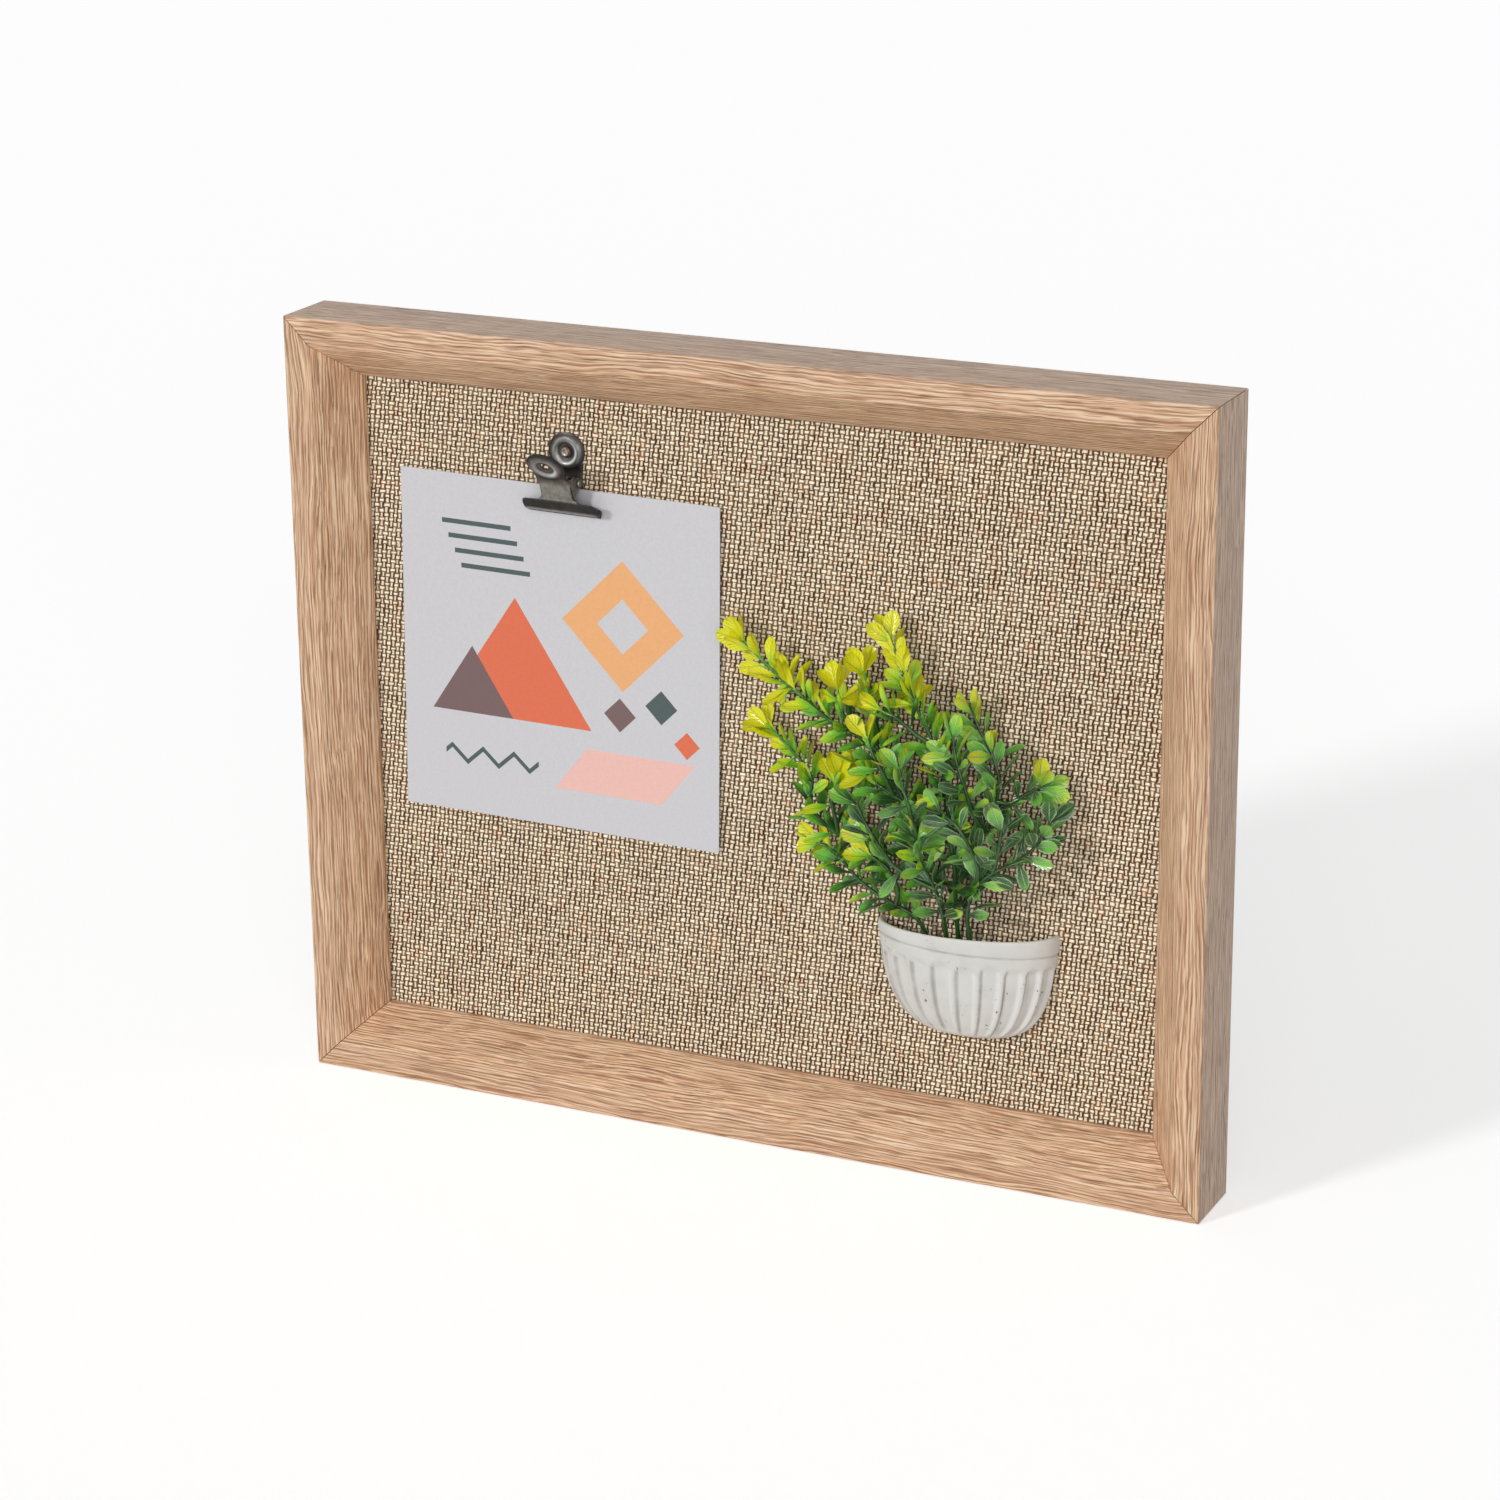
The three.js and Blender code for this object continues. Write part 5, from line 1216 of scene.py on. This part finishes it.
def build_pot(settings):
    """A half bowl with a banded rim and scooped flutes, flattened to its projection and open along the linen."""
    belly = bezier([(13, -POT_HEIGHT), (25.45, -25.4), (26.25, -4.0)], 44)
    rim = [(26.25, -3.75), (25.95, -3.5), (25.95, -3.3), (26.3, -3.1), (26.6, -2.7), (26.62, -1.4), (26.5, -0.5),
           (26.2, -0.12), (25.7, 0), (25.2, -0.12), (24.85, -0.5), (24.7, -1.2)]
    hollow = bezier([(24.35, -4), (23.55, -23.5), (11.1, POT_WALL - POT_HEIGHT)], 10)
    outside = [(0, -POT_HEIGHT), (6, -POT_HEIGHT), (12.2, -POT_HEIGHT), *belly, *rim]
    profile = outside + hollow + [(0, POT_WALL - POT_HEIGHT)]
    bm, inner = half_turn(profile, settings.flutes * 16, len(outside))
    (wear_and_painted_light,) = new_layers(bm, "wear_and_painted_light")
    depth = settings.flute_depth / MM
    for vert in bm.verts:
        x, y, z = vert.co
        radius = math.hypot(x, y)
        flat = INNER_FLAT
        groove = flute_highlight = 0.0
        if not vert[inner]:
            flat = OUTER_FLAT
            turn = math.atan2(-y, x) * settings.flutes / math.pi
            flute = round(turn)
            off_middle = abs(turn - flute) * 2
            crown = 6.8 + 2.2 * off_middle**3 + 0.8 * noise.noise(Vector((flute, 0.5, 0)) * 3.3)
            present = smooth(crown, crown + 0.8, -z) * smooth(0.3, 2.6, z + POT_HEIGHT)
            if radius > 1:
                scooped = 1 - depth * present * (1 - smooth(0.5, 0.95, off_middle)) / radius
                x, y = x * scooped, y * scooped
            # Painted shade on each flute's left edge and along the rim's groove line, and a painted highlight on its
            # right edge.
            edge = present * smooth(0.5, 0.7, off_middle) * (1 - smooth(0.78, 0.95, off_middle))
            line = smooth(3.1, 3.3, -z) * (1 - smooth(3.6, 3.9, -z))
            groove = max(edge if turn > flute else 0, 0.8 * line)
            flute_highlight = edge if turn < flute else 0
        rim_share = smooth(26.4, 25.2, radius) * smooth(-1.6, -0.1, z)
        z += settings.rim_rise / MM * (x + POT_HALF_WIDTH) / (2 * POT_HALF_WIDTH) * smooth(-2.9, -1.4, z)
        spot = Vector((x, y, z))
        ripple = 0.1 * noise.noise(spot * 0.22) + 0.04 * noise.noise(spot * 0.8)
        scale = 1 + (ripple / radius if radius > 1 else 0)
        vert.co = (x * scale * MM, y * flat * scale * MM, z * MM)
        vert[wear_and_painted_light] = (0.8 * groove, rim_share, 0.5 * flute_highlight)
    add_half("fluted_pot", bm, pot_material(settings), "half_pot", 50)


def build_plug(settings):
    """The plug that holds the stems: crumbly on top, and a little hollow in the middle."""
    side = bezier([(10.5, -27), (22.6, -23), (23.6, -8.4)], 12)
    top = [(23.2, -8.1), *((23.2 * (1 - i / 12), -8 - 0.25 * math.sin(i)) for i in range(1, 12)), (0, -8.2)]
    bm, _ = half_turn([(0, -27), *side, *top], 48, 0)
    for vert in bm.verts:
        x, y, z = vert.co
        lump = 0.5 * noise.noise(vert.co * 0.5) if z > -9 else 0
        vert.co = (x * 0.97 * MM, (y * 0.96 * INNER_FLAT - 0.1) * MM, (z + lump) * MM)
    add_half("stem_plug", bm, plug_material(settings), "foam_plug", 60)


class COLLAGE_OT_pot(bpy.types.Operator):
    """Builds the fluted half pot and its plug"""

    bl_idname = "collage.pot"
    bl_label = "Pot"

    def execute(self, context):
        settings = context.scene.collage_pot
        build_pot(settings)
        build_plug(settings)
        return {"FINISHED"}


# Sprigs. Routes are in half-millimetre steps: sideways from the pot's middle, out from the linen, up from the rim.
# A foot is (sideways in those steps, share of the hollow's depth). Yellow and bloom say how far the young colour
# and the pale dusting go. Leaves begin at a shoot's start. A side shoot forks off its parent at a share of its length.

Sprig = namedtuple("Sprig", "name foot yellow bloom shoots")
Shoot = namedtuple("Shoot", "start route parent fork", defaults=(None, None))
Leaf = namedtuple("Leaf", "base age direction across normal long solid")

ROUTE_STEP = 0.5
HOLLOW_DEPTH = 10.1
PAIR_STEP = 6.6
FIRST_TURN = 32
FOOT_UPS = (-15.7, -8 - 8 / 3, -4)
STEM_STEP, STEM_TAPER, STEM_SIDES = 1.6, 0.45, 7
LEAF_ROWS = (0, 0.16, 0.36, 0.56, 0.76, 0.92, 1)
LEAF_COLUMNS = (-1, -0.5, 0, 0.5, 1)
LEAF_SWELL = 0.16
LEAF_MATCH = 0.0003
LINEN_CLEAR, RIM_HALF, RIM_CLEAR, CARD_SIDE, CARD_CLEAR = 1.2, 29, 3, -71, 4
SPRIGS = [
    Sprig("lower_left", (-21, 0.34), 0.72, 0.2, [
        Shoot(0.36, [(-28, 10, 6), (-38, 13, 12), (-49, 15, 18), (-61, 15, 26), (-74, 14, 38), (-86, 13, 42)]),
        Shoot(0.3, [(-34, 19, 24), (-38, 23, 36), (-48, 24, 43)], 0, 0.47),
    ]),
    Sprig("upper_left", (-10, 0.34), 1.0, 0.1, [
        Shoot(0.26, [(-10, 13, 12), (-12, 17, 34), (-21, 19, 56), (-30, 19, 74), (-42, 18, 94), (-52, 18, 106),
                     (-74, 17, 114), (-88, 16, 123), (-106, 14, 134), (-134, 12, 156)]),
        Shoot(0.2, [(-29, 17, 41), (-50, 16, 45), (-70, 16, 49), (-83, 15, 57), (-88, 15, 67), (-87, 15, 79),
                    (-94, 14, 88), (-116, 12, 106)], 0, 0.28),
        Shoot(0.28, [(-43, 11, 85), (-49, 9, 100), (-51, 10, 118), (-57, 13, 144)], 0, 0.46),
        Shoot(0.4, [(-70, 21, 59), (-71, 24, 73), (-67, 24, 86)], 1, 0.43),
        Shoot(0.3, [(-60, 23, 114), (-65, 24, 124), (-68, 23, 135)], 0, 0.58),
    ]),
    Sprig("front", (-8, 0.6), 0.28, 0.6, [
        Shoot(0.42, [(-8, 19, 14), (-10, 27, 33), (-16, 31, 48), (-17, 34, 62), (-17, 35, 70)]),
        Shoot(0.3, [(-21, 30, 36), (-34, 30, 43), (-48, 28, 54)], 0, 0.6),
        Shoot(0.3, [(-20, 36, 78), (-24, 35, 88), (-27, 33, 98)], 0, 0.93),
        Shoot(0.3, [(-42, 33, 57), (-48, 33, 66), (-53, 31, 75)], 1, 0.6),
    ]),
    Sprig("upper_middle", (-2, 0.48), 0.85, 0.15, [
        Shoot(0.28, [(-1, 16, 17), (0, 21, 42), (-2, 24, 65), (-5, 23, 92), (-11, 22, 109), (-20, 20, 124),
                     (-27, 18, 136), (-33, 16, 150), (-43, 14, 168)]),
        Shoot(0.3, [(-13, 28, 71), (-30, 29, 80), (-45, 28, 88), (-56, 26, 96)], 0, 0.47),
        Shoot(0.3, [(-21, 25, 116), (-33, 25, 124), (-41, 24, 126)], 0, 0.68),
        Shoot(0.3, [(-37, 33, 95), (-42, 34, 104), (-46, 33, 113)], 1, 0.55),
    ]),
    Sprig("right", (3, 0.24), 0.45, 0.6, [
        Shoot(0.27, [(3, 11, 16), (8, 13, 38), (14, 14, 60), (21, 15, 79), (23, 15, 92), (19, 14, 106),
                     (12, 13, 117), (5, 12, 131)]),
        Shoot(0.3, [(11, 20, 73), (7, 24, 89), (2, 24, 104), (-1, 22, 116)], 0, 0.56),
        Shoot(0.3, [(29, 16, 81), (38, 15, 87), (47, 15, 93)], 0, 0.68),
    ]),
    Sprig("lower_right", (6, 0.55), 0.12, 1.0, [
        Shoot(0.36, [(6, 17, 16), (12, 21, 32), (22, 22, 42), (33, 20, 49), (44, 18, 58), (50, 16, 68),
                     (54, 15, 76)]),
        Shoot(0.3, [(16, 27, 46), (12, 30, 59), (5, 31, 70), (-5, 30, 76)], 0, 0.52),
        Shoot(0.3, [(27, 25, 56), (29, 25, 69)], 0, 0.63),
    ]),
]


class Path:
    """A centripetal Catmull-Rom curve through points, read by share of its length."""

    MARKS = 200

    def __init__(self, points):
        self.points = [Vector(p) for p in points]
        marks = [self.at(i / self.MARKS) for i in range(self.MARKS + 1)]
        self.runs = [0.0]
        for here, after in zip(marks, marks[1:]):
            self.runs.append(self.runs[-1] + (after - here).length)
        self.length = self.runs[-1]

    def at(self, t):
        last = len(self.points) - 1
        k = min(int(t * last), last - 1)
        part = t * last - k
        p1, p2 = self.points[k], self.points[k + 1]
        p0 = self.points[k - 1] if k > 0 else p1 * 2 - p2
        p3 = self.points[k + 2] if k + 2 <= last else p2 * 2 - p1
        d0, d1, d2 = ((b - a).length ** 0.5 for a, b in ((p0, p1), (p1, p2), (p2, p3)))
        start = ((p1 - p0) / d0 - (p2 - p0) / (d0 + d1) + (p2 - p1) / d1) * d1
        end = ((p2 - p1) / d1 - (p3 - p1) / (d1 + d2) + (p3 - p2) / d2) * d1
        cubic = (p1 - p2) * 2 + start + end
        square = (p2 - p1) * 3 - start * 2 - end
        return ((cubic * part + square) * part + start) * part + p1

    def turn_of(self, run):
        """The curve's own parameter at a share of its length."""
        target = run * self.length
        k = max(0, min(sum(mark <= target for mark in self.runs) - 1, self.MARKS - 1))
        return (k + (target - self.runs[k]) / (self.runs[k + 1] - self.runs[k])) / self.MARKS

    def point(self, run):
        return self.at(self.turn_of(run))

    def direction(self, run):
        t = self.turn_of(run)
        return (self.at(min(t + 1e-4, 1)) - self.at(max(t - 1e-4, 0))).normalized()


def on_plant(place):
    return PLANT_PLACE @ (place * MM)


def shoot_paths(sprig):
    sideways, depth = sprig.foot
    foot = [(sideways * ROUTE_STEP, -depth * HOLLOW_DEPTH, up) for up in FOOT_UPS]
    paths = []
    for shoot in sprig.shoots:
        route = [(x * ROUTE_STEP, -out * ROUTE_STEP, up * ROUTE_STEP) for x, out, up in shoot.route]
        start = foot if shoot.parent is None else [paths[shoot.parent].point(shoot.fork)]
        paths.append(Path([*start, *route]))
    return paths


def shoot_leaves(start, path):
    """The leaves of a shoot. Opposite pairs follow the CAD node's solid, and others fill the gaps between them."""
    leaves = []

    def add(age, turn, spread, long, solid=False, end=0.97):
        run = start + (end - start) * age
        turn, spread = math.radians(turn), math.radians(spread)
        along = path.direction(run)
        sideways = along.cross(FRONT).normalized()
        lateral = sideways * math.cos(turn) + sideways.cross(along) * math.sin(turn)
        direction = along * math.cos(spread) + lateral * math.sin(spread)
        normal = square_to((along * math.sin(spread) - lateral * math.cos(spread)).lerp(FRONT, 0.55), direction)
        leaves.append(Leaf(path.point(run), age, direction, normal.cross(direction), normal, long, solid))

    pairs = max(int(path.length * (1 - start) / PAIR_STEP + 0.5), 2)
    for pair in range(pairs):
        age = pair / (pairs - 1)
        between = min((pair + 0.5) / (pairs - 1), 1.0)
        inner = min((pair + 0.25) / (pairs - 1), 0.8)
        for flip in (0, 180):
            turn = FIRST_TURN + 90 * pair + flip
            add(age, turn, 58 - 24 * age, 10 - 2 * age, True)
            add(between, turn + 50, 50 - 26 * between, 10.4 - 2 * between)
            add(inner, turn + 100, 62, 9)
    add(1, FIRST_TURN, 0, 8, True, 0.985)
    return leaves


def has_room(leaf):
    """Whether a filling leaf stays clear of the linen, the pot's rim and the card."""
    half = leaf_width(leaf) * 0.5
    for run, side in ((1, 0), (0.6, half), (0.6, -half)):
        x, y, z = leaf.base + leaf.direction * (run * leaf.long) + leaf.across * side
        by_rim, by_card = abs(x) < RIM_HALF and z < RIM_CLEAR, x < CARD_SIDE and y > -CARD_CLEAR
        if y > -LINEN_CLEAR or by_rim or by_card:
            return False
    return True


def strewn(leaf, chances):
    """The same filling leaf, leaning a little aside."""
    lean, tilt = chances.uniform(-0.5, 0.5), chances.uniform(-0.4, 0.4)
    direction = (leaf.direction + leaf.across * lean + leaf.normal * tilt).normalized()
    normal = square_to(leaf.normal, direction)
    return leaf._replace(direction=direction, across=normal.cross(direction), normal=normal)


def leaf_width(leaf):
    """The young leaves at a shoot's end are broader."""
    return (0.33 + 0.24 * leaf.age**4) * leaf.long


def leaf_half_width(u):
    """Half the width of a spoon-shaped leaf at a share of its length, where its widest half width is 1."""
    if u < 0.62:
        return 0.13 + 0.87 * smooth(0.06, 0.62, u)
    return math.sqrt(max(0.0, 1 - ((u - 0.62) / 0.38) ** 2))


def add_leaf(bm, layers, leaf, roll, hue_and_shade, chance, settings):
    """A cupped, drooping leaf with a thin closed blade."""
    blade, hue_and_shade_layer = layers
    across = leaf.across * math.cos(roll) + leaf.normal * math.sin(roll)
    normal = leaf.normal * math.cos(roll) - leaf.across * math.sin(roll)
    half = leaf_width(leaf) / 2
    twist = 0.35 * (chance - 0.5)
    droop = settings.droop * leaf.long * (0.5 + chance)

    def corner(u, v, lift):
        width = half * leaf_half_width(u)
        rise = settings.camber * width * (v * v - 0.4) - droop * u * u + twist * v * width * u
        rise += lift * (1 - v * v) * min(1.0, 6 * (1 - u), 8 * u)
        vert = bm.verts.new(on_plant(
            leaf.base + leaf.direction * (u * leaf.long * 1.03) + across * (v * width) + normal * rise))
        vert[blade], vert[hue_and_shade_layer] = (u, v, chance), hue_and_shade
        return vert

    for lift in (LEAF_SWELL, -LEAF_SWELL):
        grid = [[corner(u, v, lift) for v in LEAF_COLUMNS] for u in LEAF_ROWS]
        for near, far in zip(grid, grid[1:]):
            bridge(bm, near, far)


def build_sprig(sprig, number, look, settings):
    node = f"sprig_{sprig.name}"
    corners = frame["nodes"][node].data.vertices
    tree = kdtree.KDTree(len(corners))
    for i, vert in enumerate(corners):
        tree.insert(vert.co, i)
    tree.balance()

    def on_node(leaf):
        """Whether the CAD node has a corner on each side of the leaf's tip."""
        tip, side = leaf.base + leaf.direction * leaf.long, leaf.across * (0.126 * leaf.long)
        return all(tree.find(on_plant(spot))[2] <= LEAF_MATCH for spot in (tip - side, tip + side))

    chances = random.Random(number)
    bm = bmesh.new()
    layers = blade, hue_and_shade_layer = new_layers(bm, "blade", "hue_and_shade")
    count = 0
    for shoot, path in zip(sprig.shoots, shoot_paths(sprig)):
        steps = max(int(path.length / STEM_STEP), 6)
        spots = [on_plant(path.point(i / steps)) for i in range(steps + 1)]
        radii = [settings.stem_radius * (1 - STEM_TAPER * i / steps) for i in range(steps + 1)]
        for i, ring in enumerate(sweep(bm, spots, radii, STEM_SIDES)):
            for vert in ring:
                vert[blade] = (0.15, 0.5, 0.3)
                vert[hue_and_shade_layer] = (0.5 * sprig.yellow * (i / steps) ** 2, 0.5 * sprig.bloom, 0.25)
        for leaf in shoot_leaves(shoot.start, path):
            chance = chances.random()
            if leaf.solid and not on_node(leaf):
                continue
            roll = settings.roll * (chances.random() - 0.5)
            if not leaf.solid:
                leaf = strewn(leaf, chances)
                if not has_room(leaf):
                    continue
            count += 1
            high = min(1.0, max(0.0, leaf.base.z / 80 + 0.25))
            yellow = sprig.yellow * (0.12 + 0.88 * leaf.age**2.6) * (0.5 + 0.5 * high) + 0.25 * chance**3
            # Painted shade for the leaves near the linen and near the shoots' feet.
            depth = smooth(9, 4, -leaf.base.y) * smooth(0.6, 0.1, leaf.age)
            add_leaf(bm, layers, leaf, roll, (yellow, sprig.bloom, depth), chance, settings)
    if not count:
        raise RuntimeError(f"{node}: no leaf of the CAD node was found")
    bmesh.ops.remove_doubles(bm, verts=bm.verts, dist=1e-6)
    set_normals(bm)
    add_piece(f"boxwood_{sprig.name}", bm, look, "frame", [node], 60)
    return count


class COLLAGE_OT_sprigs(bpy.types.Operator):
    """Builds the boxwood sprigs, with a leaf wherever the CAD node has one"""

    bl_idname = "collage.sprigs"
    bl_label = "Sprigs"

    def execute(self, context):
        settings = context.scene.collage_plant
        look = boxwood_material(settings)
        leaves = sum(build_sprig(sprig, i, look, settings) for i, sprig in enumerate(SPRIGS))
        self.report({"INFO"}, f"{leaves} leaves")
        return {"FINISHED"}


# Stage

CAMERA_PLACE = (0.46496, -0.96286, 0.46882)
CAMERA_RIGHT = Vector((0.902085, 0.431419, -0.010962))
CAMERA_FORWARD = Vector((-0.412434, 0.854353, -0.316194))
KEY_TOWARDS = (0.55, 1.0, -0.45)
FILL_TOWARDS = (-0.45, 1.0, -0.25)
FILL_SOFTNESS = math.radians(40)
FLOOR_GAP, FLOOR_HALF, FLOOR_GREY, FLOOR_GLOW = 0.0002, 8, 0.9, 0.5
SENSOR = 36


def build_floor():
    """A plain floor that looks white to the camera and still takes the object's shadow."""
    bm = bmesh.new()
    bmesh.ops.create_grid(bm, x_segments=1, y_segments=1, size=FLOOR_HALF)
    move(bm, Matrix.Translation((0, 0, CAD_LOW.z - FLOOR_GAP)))
    nodes = new_material("floor")
    matte = nodes.read("ShaderNodeBsdfDiffuse", {"Color": (FLOOR_GREY, FLOOR_GREY, FLOOR_GREY, 1)})
    glow = nodes.read("ShaderNodeEmission", {"Strength": nodes.seen_directly() * FLOOR_GLOW})
    both = nodes.read("ShaderNodeAddShader", {0: matte, 1: glow})
    nodes.add("ShaderNodeOutputMaterial", {"Surface": both})
    floor = add_piece("floor", bm, nodes.owner, None)


def build_world(sky):
    world = bpy.data.worlds.new("studio")
    world.use_nodes = True
    nodes = Nodes(world.node_tree)
    strength = nodes.span(nodes.seen_directly(), 0.0, 1.0, sky, 1.0)
    light = nodes.read("ShaderNodeBackground", {"Color": (1, 1, 1, 1), "Strength": strength})
    nodes.add("ShaderNodeOutputWorld", {"Surface": light})
    bpy.context.scene.world = world


def build_camera(lens):
    data = bpy.data.cameras.new("camera")
    data.lens, data.sensor_width, data.clip_start, data.clip_end = lens, SENSOR, 0.01, 100
    camera = bpy.data.objects.new("camera", data)
    axes = (CAMERA_RIGHT, CAMERA_RIGHT.cross(CAMERA_FORWARD), -CAMERA_FORWARD)
    camera.matrix_world = Matrix.Translation(CAMERA_PLACE) @ Matrix(axes).transposed().to_4x4()
    bpy.context.scene.collection.objects.link(camera)
    bpy.context.scene.camera = camera


def add_sun(name, towards, brightness, softness):
    data = bpy.data.lights.new(name, "SUN")
    data.energy, data.angle = brightness * math.pi, softness
    lamp = bpy.data.objects.new(name, data)
    lamp.rotation_mode = "QUATERNION"
    lamp.rotation_quaternion = Vector(towards).to_track_quat("-Z", "Y")
    bpy.context.scene.collection.objects.link(lamp)


class COLLAGE_OT_stage(bpy.types.Operator):
    """Sets the floor, the lamps and the camera"""

    bl_idname = "collage.stage"
    bl_label = "Stage"

    def execute(self, context):
        settings = context.scene.collage_stage
        build_floor()
        build_world(settings.sky)
        add_sun("key", KEY_TOWARDS, settings.key, settings.softness)
        add_sun("fill", FILL_TOWARDS, settings.fill, FILL_SOFTNESS)
        build_camera(settings.lens)
        context.scene.view_settings.view_transform = "Standard"
        return {"FINISHED"}


class COLLAGE_PT_panel(bpy.types.Panel):
    bl_idname = "COLLAGE_PT_panel"
    bl_label = "Collage Frame"
    bl_space_type = "VIEW_3D"
    bl_region_type = "UI"
    bl_category = "Collage Frame"

    def draw(self, context):
        for name, _, operator in PARTS:
            box = self.layout.box()
            box.operator(operator.bl_idname)
            settings = getattr(context.scene, name)
            for field in settings.bl_rna.properties.keys():
                if field not in ("rna_type", "name"):
                    box.prop(settings, field)


PARTS = [
    ("collage_rails", RailSettings, COLLAGE_OT_rails),
    ("collage_board", BoardSettings, COLLAGE_OT_board),
    ("collage_fittings", FittingSettings, COLLAGE_OT_fittings),
    ("collage_clip", ClipSettings, COLLAGE_OT_clip),
    ("collage_card", CardSettings, COLLAGE_OT_card),
    ("collage_pot", PotSettings, COLLAGE_OT_pot),
    ("collage_plant", PlantSettings, COLLAGE_OT_sprigs),
    ("collage_stage", StageSettings, COLLAGE_OT_stage),
]


def register():
    for name, group, operator in PARTS:
        bpy.utils.register_class(group)
        setattr(bpy.types.Scene, name, bpy.props.PointerProperty(type=group))
        bpy.utils.register_class(operator)
    bpy.utils.register_class(COLLAGE_PT_panel)


def unregister():
    bpy.utils.unregister_class(COLLAGE_PT_panel)
    for name, group, operator in reversed(PARTS):
        bpy.utils.unregister_class(operator)
        delattr(bpy.types.Scene, name)
        bpy.utils.unregister_class(group)


def main():
    register()
    bpy.ops.collage.rails()
    bpy.ops.collage.board()
    bpy.ops.collage.fittings()
    bpy.ops.collage.clip()
    bpy.ops.collage.card()
    bpy.ops.collage.pot()
    bpy.ops.collage.sprigs()
    bpy.ops.collage.stage()


if __name__ == "__main__":
    main()
